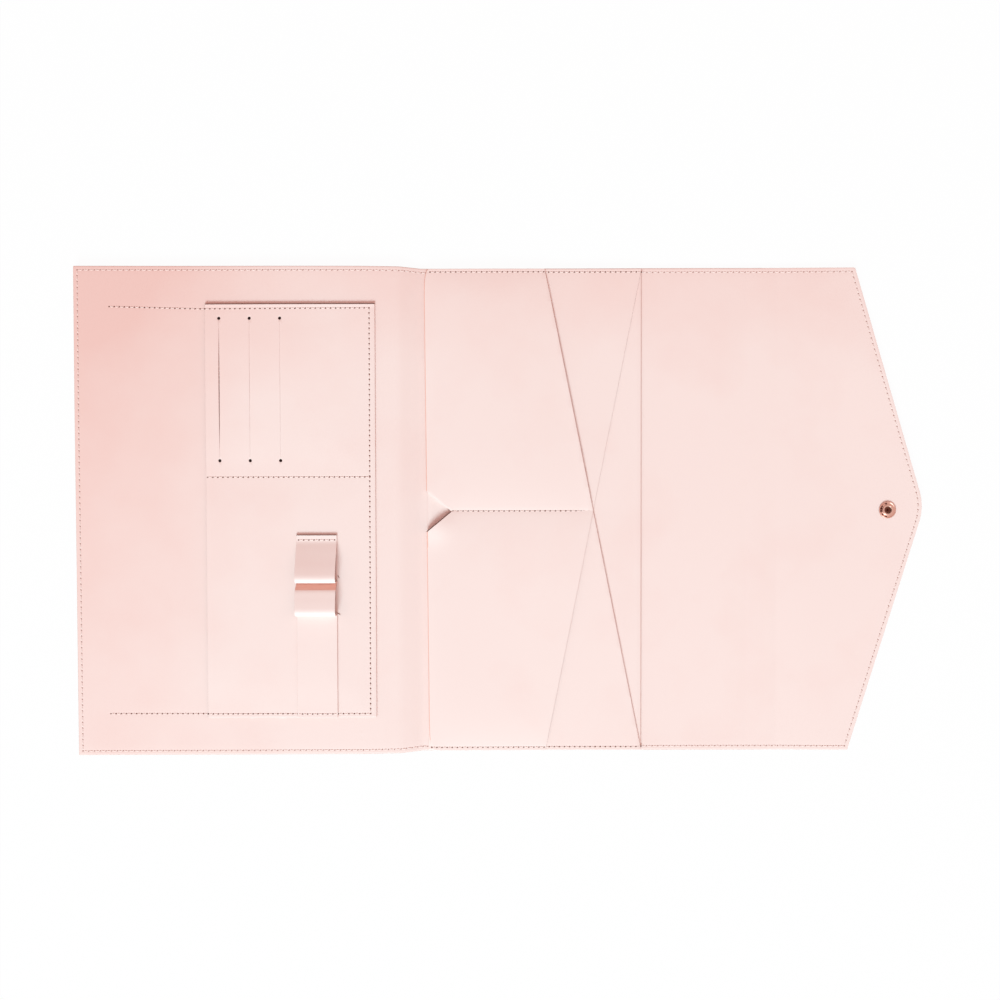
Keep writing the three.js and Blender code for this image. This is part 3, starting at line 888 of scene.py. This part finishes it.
def make_divided_pocket():
    """One sheet laid flat, cut to its V mouths and notch, then folded over at the spine side.

    Flat, the fold runs along u = 0, with the front leaf to its right and the rear leaf to its left.
    """
    half = POCKET_HIGH.y
    outside = (FRONT_TOP - REAR_TOP + POCKET_THICKNESS) / 2
    middle = outside - POCKET_THICKNESS / 2
    bend = math.pi * middle
    fold_x = FOLD_EDGE + outside
    fold_top = FRONT_TOP - outside

    def unfolded(x):
        return x - fold_x + bend / 2

    front_end = unfolded(MOUTH_TIP)
    rear_end = unfolded(MOUTH)
    piece = start_grid("divided_pocket_sheet", -rear_end, front_end, -half, half)
    corner = unfolded(MOUTH_TIP - MOUTH_CUT * half / BACK_HIGH.y)
    for side in (1, -1):
        cut((front_end, 0), (half, side * (front_end - corner)), True)
        cut_seam((-rear_end, side * POCKET_SEAM_HALF), (front_end, side * POCKET_SEAM_HALF))
    cut_seam((-rear_end, 0), (front_end, 0))
    for u in np.linspace(-bend / 2, bend / 2, 9):
        cut((u, 0), (1, 0), False)
    apex = unfolded(FOLD_EDGE + NOTCH_DEPTH)
    away = Vector((NOTCH_HALF, -apex)).normalized()
    cut(Vector((apex, 0)) + away * PAINTED_SHADOW_WIDTH, away, False)
    leave_edit()
    thicken(piece, POCKET_THICKNESS, POCKET_LEATHER)
    past = rear_end + 5 * MM
    mouth = prism("rear_mouth", [(-past, -half), (-rear_end, -half), (-unfolded(MOUTH_TIP), 0),
                                 (-rear_end, half), (-past, half)])
    cut_out(piece, mouth)
    cut_out(piece, prism("notch", [(-apex, 0), (0, -NOTCH_HALF), (apex, 0), (0, NOTCH_HALF)]))

    def fold(u, y, z):
        lift = z + POCKET_THICKNESS / 2
        angle = np.clip(u / middle, -math.pi / 2, math.pi / 2)
        x = fold_x + np.clip(np.abs(u) - bend / 2, 0, None) - (middle + lift) * np.cos(angle)
        front = (1 + np.sin(angle)) / 2
        share = REAR_SHARE + (1 - REAR_SHARE) * front
        top = fold_top + (middle + lift) * np.sin(angle)
        dip = seam_dip(x, y) + front * channel(x, y, [DIVIDER_SEAM], POCKET_CHANNEL)
        from_fold = np.clip(x - FOLD_EDGE, 0, None)
        corner_pull = CORNER_PULL * np.exp(-(half - np.abs(y)) / (4 * MM) - from_fold / (6 * MM))
        flare = front * mouth_flare(x, y, front_mouth(y), FRONT_FLARE)
        flare = flare + (1 - front) * mouth_flare(x, y, rear_mouth(y), REAR_FLARE)
        from_notch = np.hypot(x - FOLD_EDGE - 6 * MM, y + 9 * MM)
        flare = flare + front * NOTCH_LIFT * np.exp(-((from_notch / (10 * MM)) ** 2)) * (y < 0)
        lean = FOLD_LEAN * y / half * np.exp(-from_fold / (30 * MM))
        return x + corner_pull - lean, y, pocket_layer(x, y, top, share) + flare - dip

    move_points(piece, fold)
    finish_sheet(piece, ["divided_pocket"], width=MOUTH_BEVEL)
    added = (BURNISHED_AND_SHADED_EDGE, PAINTED_SHADE_LEATHER, PAINTED_SHADOW_EDGE)
    burnish_and_shade, painted_shade, shadow_painted = add_finishes(piece.data, *added)

    def pick(centre, normal, edge):
        if not edge:
            from_apex = Vector((centre.x - FOLD_EDGE - NOTCH_DEPTH, centre.y))
            # Painted shadow on a strip of the face along the notch's lower edge
            if from_apex.x < 0 and centre.y < 0 and 0 < from_apex.dot(away) < 0.8 * PAINTED_SHADOW_WIDTH:
                return shadow_painted
            # Painted shade on the faces where the pocket turns at its fold
            turned = centre.x < FOLD_EDGE + 2 * MM and normal.x < -0.35
            return painted_shade if turned else None
        if abs(centre.y) > half - 1 * MM:
            return FACE if normal.z > 0.3 else RIM
        in_notch = centre.x < FOLD_EDGE + NOTCH_DEPTH + 1 * MM
        if in_notch:
            # Painted shadow on the notch's lower edge
            return FACE if centre.y > 0 else shadow_painted
        if normal.z <= 0.15:
            return RIM
        # The mouths' upper bevels take the dark brown finish, partly burnished edge and partly
        # painted shade, apart from the stretches below
        rear = centre.x > MOUTH_TIP
        # Stretches of the mouths' upper bevels that get the near-black painted shadow
        shadowed_stretch = centre.y > 0.3 * half if rear else centre.y < -0.6 * half
        return shadow_painted if shadowed_stretch else burnish_and_shade

    refinish(piece, pick)
    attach(piece, "back")


# Organizer, pen loops and slip pocket on the cover

ORGANIZER_TOP = LAYER_GAP + POCKET_THICKNESS
ORGANIZER_PUFF = 0.5 * MM


def organizer_height(x, y):
    """Height of the organizer's face, held down at its seams and by the slots' edges."""
    seams = [ORGANIZER_SEAM, CARD_SEAM]
    nearest = np.min([distance_to(x, y, path) for path in seams], axis=0)
    puff = ORGANIZER_PUFF * (1 - np.exp(-((nearest / (17 * MM)) ** 2)))
    dip = channel(x, y, seams, CHANNEL_DEPTH)
    past = np.clip((y - ORGANIZER_SEAM_TOP) / (ORGANIZER_HIGH.y - ORGANIZER_SEAM_TOP), 0, 1)
    return lining_face(x) + drape(x, y) + ORGANIZER_TOP + puff - dip + EDGE_FLARE * past**1.5


def slot_lips(x, y):
    """The leather on the left of each slit stands a little proud of the right."""
    share = np.clip((y - SLOT_BOTTOM) / SLOT_LENGTH, 0, 1)
    along = np.sin(math.pi * share) ** 0.7
    lift = 0
    for place, height in zip(SLOT_PLACES, SLOT_LIFTS):
        fade = height * np.exp(-np.abs(place - x) / LIP_REACH)
        lift = lift + np.where(x < place, fade, -0.4 * fade)
    return lift * along


def slit_cutter(place, width):
    """A slit that gapes in its middle and closes up towards its two holes."""
    shares = np.linspace(-1, 1, 33)
    halves = width / 2 * (1 - shares**2) ** 2 + CLOSED_SLIT / 2
    levels = SLOT_MIDDLE + shares * SLOT_LENGTH / 2
    right = [(place + half, y) for half, y in zip(halves, levels)]
    left = [(place - half, y) for half, y in zip(halves, levels)]
    return prism("slit", [*right, *reversed(left)])


def make_organizer():
    low, high = ORGANIZER_LOW, ORGANIZER_HIGH
    piece = start_grid("organizer_sheet", ORGANIZER_LEFT, high.x, low.y, high.y)
    for level in (ORGANIZER_SEAM_TOP, CARD_DIVIDER, ORGANIZER_SEAM_BOTTOM):
        cut_seam((low.x, level), (high.x, level))
    cut_seam((ORGANIZER_SEAM_RIGHT, low.y), (ORGANIZER_SEAM_RIGHT, high.y))
    cut((0, high.y - PAINTED_SHADOW_WIDTH), (0, 1), False)
    for place in SLOT_PLACES:
        for offset in (-3.0, -1.8, 1.8, 3.0):
            cut((place + offset * MM, 0), (1, 0), False)
    leave_edit()
    thicken(piece, POCKET_THICKNESS, POCKET_LEATHER)
    for place, width in zip(SLOT_PLACES, SLOT_WIDTHS):
        cut_out(piece, slit_cutter(place, width))
        for y in (SLOT_TOP, SLOT_BOTTOM):
            cut_out(piece, round_cutter("hole", place, y, SLOT_HOLE_RADIUS))

    def settle(x, y, z):
        return x, y, z + organizer_height(x, y) + slot_lips(x, y)

    move_points(piece, settle)
    finish_sheet(piece, ["organizer_pocket"], width=STRAP_BEVEL)
    burnish_and_shade, shadow_painted = add_finishes(piece.data, BURNISHED_AND_SHADED_EDGE, PAINTED_SHADOW_EDGE)
    first, *others = SLOT_PLACES

    def pick(centre, normal, edge):
        # A strip of painted shadow along the organizer's upper edge
        if centre.y > high.y - PAINTED_SHADOW_WIDTH and normal.z > -0.5:
            return shadow_painted
        if not edge:
            return None
        # The organizer's left edge takes the dark brown finish, partly burnished edge and partly
        # painted shade
        if centre.x < ORGANIZER_LEFT + 0.7 * MM and normal.x < -0.3:
            return burnish_and_shade
        if any(abs(centre.x - place) < SLOT_HOLE_RADIUS for place in others):
            return FACE
        from_middle = abs(centre.y - SLOT_MIDDLE)
        on_slit = abs(centre.x - first) < 1 * MM and from_middle > 0.33 * SLOT_LENGTH
        return FACE if on_slit and from_middle < 0.5 * SLOT_LENGTH - 1 * MM else None

    refinish(piece, pick)
    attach(piece, "cover")
    make_hole_shades()


def make_hole_shades():
    """Painted shade: dark discs under the slots' punched holes, standing in for the shadowed inside
    of the card pocket.
    """
    shades = Seams()
    points, faces = HOLE_BALL
    radius = SLOT_HOLE_RADIUS + 0.25 * MM
    shape = (points * [radius, radius, 0.05 * MM], faces)
    for x in SLOT_PLACES:
        for y in (SLOT_TOP, SLOT_BOTTOM):
            z = height_at(lining_height, x, y) + 0.12 * MM
            shades.add(shape, (x, y, z), 0, 0)
    piece = shades.make("slot_hole_shade", [HOLE_SHADE])
    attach(piece, "cover")


# Each pen loop from its lower seam to its upper one: its span, and the knots that its side view
# passes through, as shares of the span and of the rise
LOOP_RISE = 6.4 * MM
LOWER_LOOP = (
    21.4 * MM,
    ((0, 0), (-0.02, 0.12), (-0.05, 0.42), (-0.03, 0.82), (0.09, 1.03), (0.3, 0.98), (0.52, 0.87),
     (0.72, 0.75), (0.84, 0.45), (0.94, 0.1), (1, 0)),
)
UPPER_LOOP = (
    25.2 * MM,
    ((0, 0), (-0.03, 0.12), (-0.07, 0.42), (-0.05, 0.82), (0.06, 1.02), (0.28, 0.84), (0.53, 0.55),
     (0.78, 0.26), (0.93, 0.07), (1, 0)),
)
STRAP_TAIL = 70.0 * MM
STRAP_SEAM_FLAT = 1.2 * MM
STRAP_TOP_TAB = 3.7 * MM
LINE_STEPS = 6


def line_through(knots):
    """A smooth line through knots, as a row of points that leaves out the first."""
    knots = np.array(knots, dtype=float)
    padded = np.concatenate([[2 * knots[0] - knots[1]], knots, [2 * knots[-1] - knots[-2]]])
    line = []
    for before, start, end, after in zip(padded, padded[1:], padded[2:], padded[3:]):
        for t in np.linspace(0, 1, LINE_STEPS + 1)[1:]:
            straight = 2 * start + (end - before) * t
            bent = (2 * before - 5 * start + 4 * end - after) * t**2
            turned = (3 * start - before - 3 * end + after) * t**3
            line.append((straight + bent + turned) / 2)
    return line


def strap_line():
    """The strap's middle line as rows of (y, rise over the organizer), from its tail to its tab."""
    y = STRAP_LOW.y
    line = [(y, 0), (y + STRAP_TAIL, 0)]
    y += STRAP_TAIL
    for span, knots in (LOWER_LOOP, UPPER_LOOP):
        line.extend((y + along * span, rise * LOOP_RISE) for along, rise in line_through(knots))
        y += span + STRAP_SEAM_FLAT
        line.append((y, 0))
    line.append((y + 0.4 * STRAP_TOP_TAB, 0.1 * MM))
    line.append((y + STRAP_TOP_TAB, 0.3 * MM))
    return np.array(line)


def make_pen_strap():
    line = strap_line()
    steps = np.hypot(*np.diff(line, axis=0).T)
    run = np.concatenate([[0], np.cumsum(steps)])
    piece = start_grid("pen_strap", STRAP_LOW.x, STRAP_HIGH.x, 0, run[-1], 0.8 * MM)
    cut((0, run[-1] - PAINTED_SHADOW_WIDTH), (0, 1), False)
    leave_edit()
    thicken(piece, POCKET_THICKNESS, POCKET_LEATHER)

    def bend(x, s, z):
        reach = 0.35 * MM
        before = [np.interp(s - reach, run, line[:, axis]) for axis in (0, 1)]
        after = [np.interp(s + reach, run, line[:, axis]) for axis in (0, 1)]
        along_y, along_z = after[0] - before[0], after[1] - before[1]
        length = np.hypot(along_y, along_z)
        y = (before[0] + after[0]) / 2
        rise = (before[1] + after[1]) / 2
        lift = z + POCKET_THICKNESS / 2
        seat = organizer_height(x, y) + LAYER_GAP + POCKET_THICKNESS / 2
        shift = -0.5 * MM * rise / LOOP_RISE
        return x + shift, y - lift * along_z / length, seat + rise + lift * along_y / length

    move_points(piece, bend)
    finish_sheet(piece, ["pen_loop_strap"], width=EDGE_BEVEL)
    painted_shade, shadow_painted = add_finishes(piece.data, PAINTED_SHADE_LEATHER, PAINTED_SHADOW_EDGE)
    seam = STRAP_LOW.y + STRAP_TAIL + LOWER_LOOP[0]
    top = seam + UPPER_LOOP[0]

    def pick(centre, normal, edge):
        # A strip of painted shadow along the tab's upper edge
        if centre.y > line[-1][0] - PAINTED_SHADOW_WIDTH and normal.z > -0.5:
            return shadow_painted
        if edge:
            # Painted shadow on the loops' right edges
            on_right = normal.x > 0.3 and centre.x > STRAP_HIGH.x - 2 * MM
            on_lower = seam - LOWER_LOOP[0] < centre.y < seam - 6 * MM
            on_upper = seam < centre.y < top - 7 * MM
            return shadow_painted if on_right and (on_lower or on_upper) else None
        # Painted shade on the lower loop's flank where it dips to the seam between the loops
        flank = seam - 6.5 * MM < centre.y < seam + 0.5 * MM and normal.y > 0.5
        return painted_shade if flank else None

    refinish(piece, pick)
    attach(piece, "cover")


def slip_height(x, y):
    """Height of the slip pocket's hidden face, under the cover."""
    under = -LINING_THICKNESS - OUTER_THICKNESS - 2 * LAYER_GAP
    return lining_face(x) + drape(x, y) + under


def make_slip_pocket():
    low, high = SLIP_LOW, SLIP_HIGH
    piece = start_grid("slip_pocket_sheet", low.x, high.x, low.y, high.y)
    for level in (ORGANIZER_SEAM_TOP, ORGANIZER_SEAM_BOTTOM):
        cut_seam((low.x, level), (high.x, level))
    cut_seam((ORGANIZER_SEAM_RIGHT, low.y), (ORGANIZER_SEAM_RIGHT, high.y))
    leave_edit()
    thicken(piece, POCKET_THICKNESS, OUTER_LEATHER)
    cut_out(piece, round_cutter("post_hole", STUD_X, 0, STUD_POST_RADIUS + STUD_ROOM))
    radius = (THUMB_NOTCH_HALF**2 + THUMB_NOTCH_DEPTH**2) / (2 * THUMB_NOTCH_DEPTH)
    centre = low.x + THUMB_NOTCH_DEPTH - radius
    cut_out(piece, round_cutter("thumb_notch", centre, 0, radius, 96))

    def settle(x, y, z):
        return x, y, z + slip_height(x, y)

    move_points(piece, settle)
    finish_sheet(piece, ["slip_pocket"])
    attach(piece, "cover")


# Seams

# Each loop seam's height and the slant of the thread end that it leaves
THREAD_ENDS = ((-43.6 * MM, -1.1), (-68.4 * MM, -0.5))
STITCH_RADIUS = 0.3 * MM
HOLE_HEIGHT = 0.16 * MM


def template_ball(segments, rings):
    """The points and faces of a small round primitive, kept to be copied."""
    bpy.ops.object.select_all(action="DESELECT")
    bpy.ops.mesh.primitive_uv_sphere_add(segments=segments, ring_count=rings, radius=1)
    ball = bpy.context.object
    bpy.ops.object.mode_set(mode="EDIT")
    bpy.ops.transform.rotate(value=math.pi / 2, orient_axis="Y", center_override=(0, 0, 0))
    bpy.ops.object.mode_set(mode="OBJECT")
    points = np.array([vertex.co for vertex in ball.data.vertices])
    faces = [list(face.vertices) for face in ball.data.polygons]
    mesh = ball.data
    bpy.data.objects.remove(ball)
    bpy.data.meshes.remove(mesh)
    return points, faces


STITCH_BALL = template_ball(8, 7)
HOLE_BALL = template_ball(8, 4)


class Seams:
    """The stitches and needle holes of one stretch of leather, gathered into one mesh."""

    def __init__(self):
        self.points = []
        self.faces = []
        self.finishes = []
        self.count = 0

    def add(self, shape, place, turn, finish):
        points, faces = shape
        cos, sin = math.cos(turn), math.sin(turn)
        x = place[0] + points[:, 0] * cos - points[:, 1] * sin
        y = place[1] + points[:, 0] * sin + points[:, 1] * cos
        self.points.append(np.stack([x, y, place[2] + points[:, 2]], axis=1))
        self.faces.extend([[corner + self.count for corner in face] for face in faces])
        self.finishes.extend([finish] * len(faces))
        self.count += len(points)

    def make(self, name, finishes):
        mesh = bpy.data.meshes.new(name)
        mesh.from_pydata(np.concatenate(self.points).tolist(), [], self.faces)
        add_finishes(mesh, *finishes)
        mesh.polygons.foreach_set("material_index", self.finishes)
        mesh.polygons.foreach_set("use_smooth", [True] * len(mesh.polygons))
        return link_new(name, mesh)


def stitch_shape(length, side):
    """One stitch, arched over the leather, with its ends drawn into the needle holes."""
    points, faces = STITCH_BALL
    shaped = points * [length / 2, STITCH_RADIUS, STITCH_RADIUS * 0.8]
    shaped[:, 2] += 0.1 * MM - 0.28 * MM * np.abs(points[:, 0]) ** 2
    shaped[:, 2] *= side
    if side < 0:
        faces = [face[::-1] for face in faces]
    return shaped, faces


def hole_shape(length, width, slant):
    """A needle hole's dark mark of painted shade, drawn long and slanted by the thread."""
    points, faces = HOLE_BALL
    cos, sin = math.cos(slant), math.sin(slant)
    x, y, z = points[:, 0] * length / 2, points[:, 1] * width / 2, points[:, 2] * HOLE_HEIGHT / 2
    return np.stack([x * cos - y * sin, x * sin + y * cos, z], axis=1), faces


SEAM_GROUPS = {"cover": Seams(), "spine": Seams(), "back": Seams(), "flap": Seams()}
BOLD_HOLE = hole_shape(1.3 * MM, 1.1 * MM, 0.5)
FINE_HOLE = hole_shape(1.35 * MM, 0.85 * MM, 0.7)


def group_at(x):
    for name, end in (("cover", MID_SPINE), ("spine", MID_BACK), ("back", MID_FOLD)):
        if x < end:
            return SEAM_GROUPS[name]
    return SEAM_GROUPS["flap"]


def sew(path, pitch, height, side=1, hole=BOLD_HOLE):
    """Sews along a path, with a stitch every pitch and a needle hole at each end of it."""
    stitch = stitch_shape(pitch * 0.74, side)
    opening = 2 if hole is FINE_HOLE else 1
    for start, end in zip(path, path[1:]):
        run = math.hypot(end[0] - start[0], end[1] - start[1])
        turn = math.atan2(end[1] - start[1], end[0] - start[0])
        count = max(1, round(run / pitch))
        for i in range(count + 1):
            parts = ((hole, i / count, opening), (stitch, (i + 0.5) / count, 0))
            for shape, share, finish in parts:
                if share > 1:
                    continue
                x = start[0] + (end[0] - start[0]) * share
                y = start[1] + (end[1] - start[1]) * share
                z = height_at(height, x, y)
                place = [float(value) for value in lie(x, y)]
                group_at(x).add(shape, (*place, z), turn, finish)


def pocket_face(x, y):
    """Height of whatever pocket sheet is uppermost on the back."""
    front = pocket_layer(x, y, FRONT_TOP, 1)
    rear = pocket_layer(x, y, REAR_TOP, REAR_SHARE)
    document = pocket_layer(x, y, DOCUMENT_TOP, DOCUMENT_SHARE)
    face = np.where(x < rear_mouth(y), rear, document)
    return np.where(x < front_mouth(y), front, face) - seam_dip(x, y)


def organizer_face(x, y):
    """Height of the organizer, with the strap's tail where it lies on it."""
    on_strap = (x > STRAP_LOW.x) & (x < STRAP_HIGH.x) & (y < STRAP_HIGH.y)
    off = x < ORGANIZER_LEFT
    face = organizer_height(x, y) + np.where(on_strap, LAYER_GAP + POCKET_THICKNESS, 0)
    return np.where(off, lining_height(x, y), face)


def under_face(x, y):
    """Height of the outer leather's outside."""
    return outer_height(x, y) - OUTER_THICKNESS


def slip_face(x, y):
    return slip_height(x, y) - POCKET_THICKNESS


def split_at(path, places):
    """The path with a corner added wherever it crosses one of those x."""
    made = [path[0]]
    for start, end in zip(path, path[1:]):
        inside = [x for x in places if min(start[0], end[0]) < x < max(start[0], end[0])]
        for x in sorted(inside, reverse=end[0] < start[0]):
            share = (x - start[0]) / (end[0] - start[0])
            made.append((x, start[1] + (end[1] - start[1]) * share))
        made.append(end)
    return made


def leave_thread_ends():
    """The seams that hold the loops down leave a short end of thread at the strap's right side."""
    points, faces = STITCH_BALL
    shape = (points * [1.3 * MM, 0.22 * MM, 0.22 * MM], faces)
    for y, slant in THREAD_ENDS:
        x = STRAP_HIGH.x + 0.9 * MM
        z = height_at(organizer_height, x, y) + 0.2 * MM
        # The thread ends take the needle holes' dark finish, painted shade
        SEAM_GROUPS["cover"].add(shape, (x, y, z), slant, 1)


def sew_all():
    edge = split_at(EDGE_SEAM, [FOLD_EDGE + 3 * MM, MOUTH])
    for start, end in zip(edge, edge[1:]):
        middle = (start[0] + end[0]) / 2
        on_pocket = FOLD_EDGE < middle < MOUTH and abs(start[1]) > 10 * MM
        face, pitch, hole = lining_height, COVER_PITCH, FINE_HOLE
        if on_pocket:
            face, pitch, hole = pocket_face, POCKET_PITCH, BOLD_HOLE
        sew([start, end], pitch, face, 1, hole)
    sew(EDGE_SEAM, COVER_PITCH, under_face, -1, FINE_HOLE)
    sew(split_at(ORGANIZER_SEAM, [ORGANIZER_LEFT, STRAP_LOW.x, STRAP_HIGH.x]), POCKET_PITCH,
        organizer_face)
    sew(CARD_SEAM, POCKET_PITCH, organizer_face)
    sew(DIVIDER_SEAM, POCKET_PITCH, pocket_face)
    strap_seam = STRAP_HIGH.y - 3.6 * MM
    sew([(STRAP_LOW.x + 1.5 * MM, strap_seam), (STRAP_HIGH.x - 1.5 * MM, strap_seam)], POCKET_PITCH,
        organizer_face)
    sew(ORGANIZER_SEAM, POCKET_PITCH, slip_face, -1)
    leave_thread_ends()
    for name, seams in SEAM_GROUPS.items():
        bend_at(seams.make(f"stitching_{name}", [THREAD, NEEDLE_HOLE_SHADE, FILLED_HOLE_SHADE]), *BENDS[name])


# Press stud

def turn_round(node, profile, finishes, pick):
    """Turns a closed profile of (radius, height) in millimetres into the piece for that node."""
    name = f"{node}_turned"
    mesh = bpy.data.meshes.new(name)
    points = [(radius * MM, 0, height * MM) for radius, height in profile]
    mesh.from_pydata(points, [(i, (i + 1) % len(points)) for i in range(len(points))], [])
    piece = link_new(name, mesh)
    make_active(piece)
    bpy.ops.object.mode_set(mode="EDIT")
    bpy.ops.mesh.select_all(action="SELECT")
    bpy.ops.mesh.spin(steps=TURN_STEPS, angle=2 * math.pi, center=(0, 0, 0), axis=(0, 0, 1))
    bpy.ops.mesh.select_all(action="SELECT")
    bpy.ops.mesh.remove_doubles(threshold=1e-6)
    bpy.ops.mesh.normals_make_consistent(inside=False)
    bpy.ops.object.mode_set(mode="OBJECT")
    add_finishes(mesh, *finishes)
    for face in mesh.polygons:
        radius = math.hypot(face.center.x, face.center.y)
        face.material_index = pick(radius / MM, face.center.z / MM)
    bpy.ops.object.shade_smooth_by_angle(angle=math.radians(40))
    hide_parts(node)
    return piece


def place_on_flap(piece):
    """Moves a turned part from the flap's own level to where it sits on the tilted flap."""
    cos, sin = math.cos(FLAP_TILT), math.sin(FLAP_TILT)

    def lay(x, y, z):
        along = x + SNAP_FROM_FOLD
        return FLAP_FOLD.x + along * cos - z * sin, y, FLAP_FOLD.z + along * sin + z * cos

    move_points(piece, lay)
    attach(piece, "flap")


def place_on_cover(piece):
    move_points(piece, lambda x, y, z: (x + STUD_X, y, z + COVER_FOLD.z))
    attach(piece, "cover")


def rounded(profile, centre, radius, start, end):
    """Adds an arc to a profile, between two angles in degrees."""
    for step in range(ARC_STEPS + 1):
        angle = math.radians(start + (end - start) * step / ARC_STEPS)
        across, up = radius * math.cos(angle), radius * math.sin(angle)
        profile.append((centre[0] + across, centre[1] + up))


def make_socket():
    profile = [(1.6, -0.5), (2.8, -0.5), (2.8, 1.1)]
    rounded(profile, (2.72, 1.33), 0.27, 230, 90)
    profile.append((2.95, 1.6))
    rounded(profile, (3.18, 1.38), 0.22, 90, 0)
    profile.extend([(3.45, 0.62), (3.75, 0.42), (4.35, 0.36), (4.75, 0.42)])
    rounded(profile, (5.2, 0.32), 0.4, 150, 0)
    profile.extend([(5.6, 0.1), (3.4, 0.1), (3.4, -0.8), (1.6, -0.8)])

    def pick(radius, height):
        # The groove and the bore take the darker metal with painted shade
        groove = radius > 3.5 and height > 0.2
        return 1 if groove or (radius < 2.9 and height < 1.1) else 0

    place_on_flap(turn_round("snap_socket", profile, [ROSE_METAL, SHADED_GROOVE_METAL], pick))


def make_cap():
    profile = [(0, -3.7)]
    for step in range(1, 17):
        t = step / 16
        profile.append((2 * t * (1 - t) * 4.7 + t * t * 6.2, -3.7 + t * t * 1.2))
    profile.extend([(6.2, -2.15), (6.05, -2.0), (1.5, -2.0), (1.5, -0.4), (2.0, -0.4), (2.0, -0.15),
                    (0.9, -0.15), (0.9, -1.9), (0, -1.9)])

    def pick(radius, height):
        # The cap's post, seen down the socket's hole, takes the near-black painted shade
        return int(height > -1.95)

    place_on_flap(turn_round("snap_cap", profile, [ROSE_METAL, DARK_HOLE_METAL], pick))


def make_stud():
    profile = [(1.3, -3.0), (1.3, -4.45), (0.8, -4.8), (0.8, -5.0)]
    rounded(profile, (1.6, -4.5), 0.5, 270, 335)
    rounded(profile, (1.85, -4.35), 0.3, 330, 390)
    profile.extend([(1.77, -4.05), (1.75, -3.75), (1.82, -3.55), (2.05, -3.42)])
    rounded(profile, (4.25, -3.25), 0.15, 270, 360)
    profile.append((4.4, -3.0))

    def pick(radius, height):
        # The stud's bore takes the near-black painted shade
        return int(radius < 1.2)

    place_on_cover(turn_round("snap_stud", profile, [ROSE_METAL, DARK_HOLE_METAL], pick))


def make_press_stud():
    make_socket()
    make_cap()
    make_stud()
    # The stud's post takes the near-black painted shade
    for node, finish in (("snap_stud_post", DARK_HOLE_METAL), ("snap_spring", SPRING_BRONZE)):
        mesh = frame["nodes"][node].data
        mesh.materials.clear()
        add_finishes(mesh, finish)


place_camera()
light_world()
place_key_light()
lay_table()
make_panels()
make_document_pocket()
make_divided_pocket()
make_organizer()
make_pen_strap()
make_slip_pocket()
sew_all()
make_press_stud()

bpy.context.scene.view_settings.view_transform = "Standard"
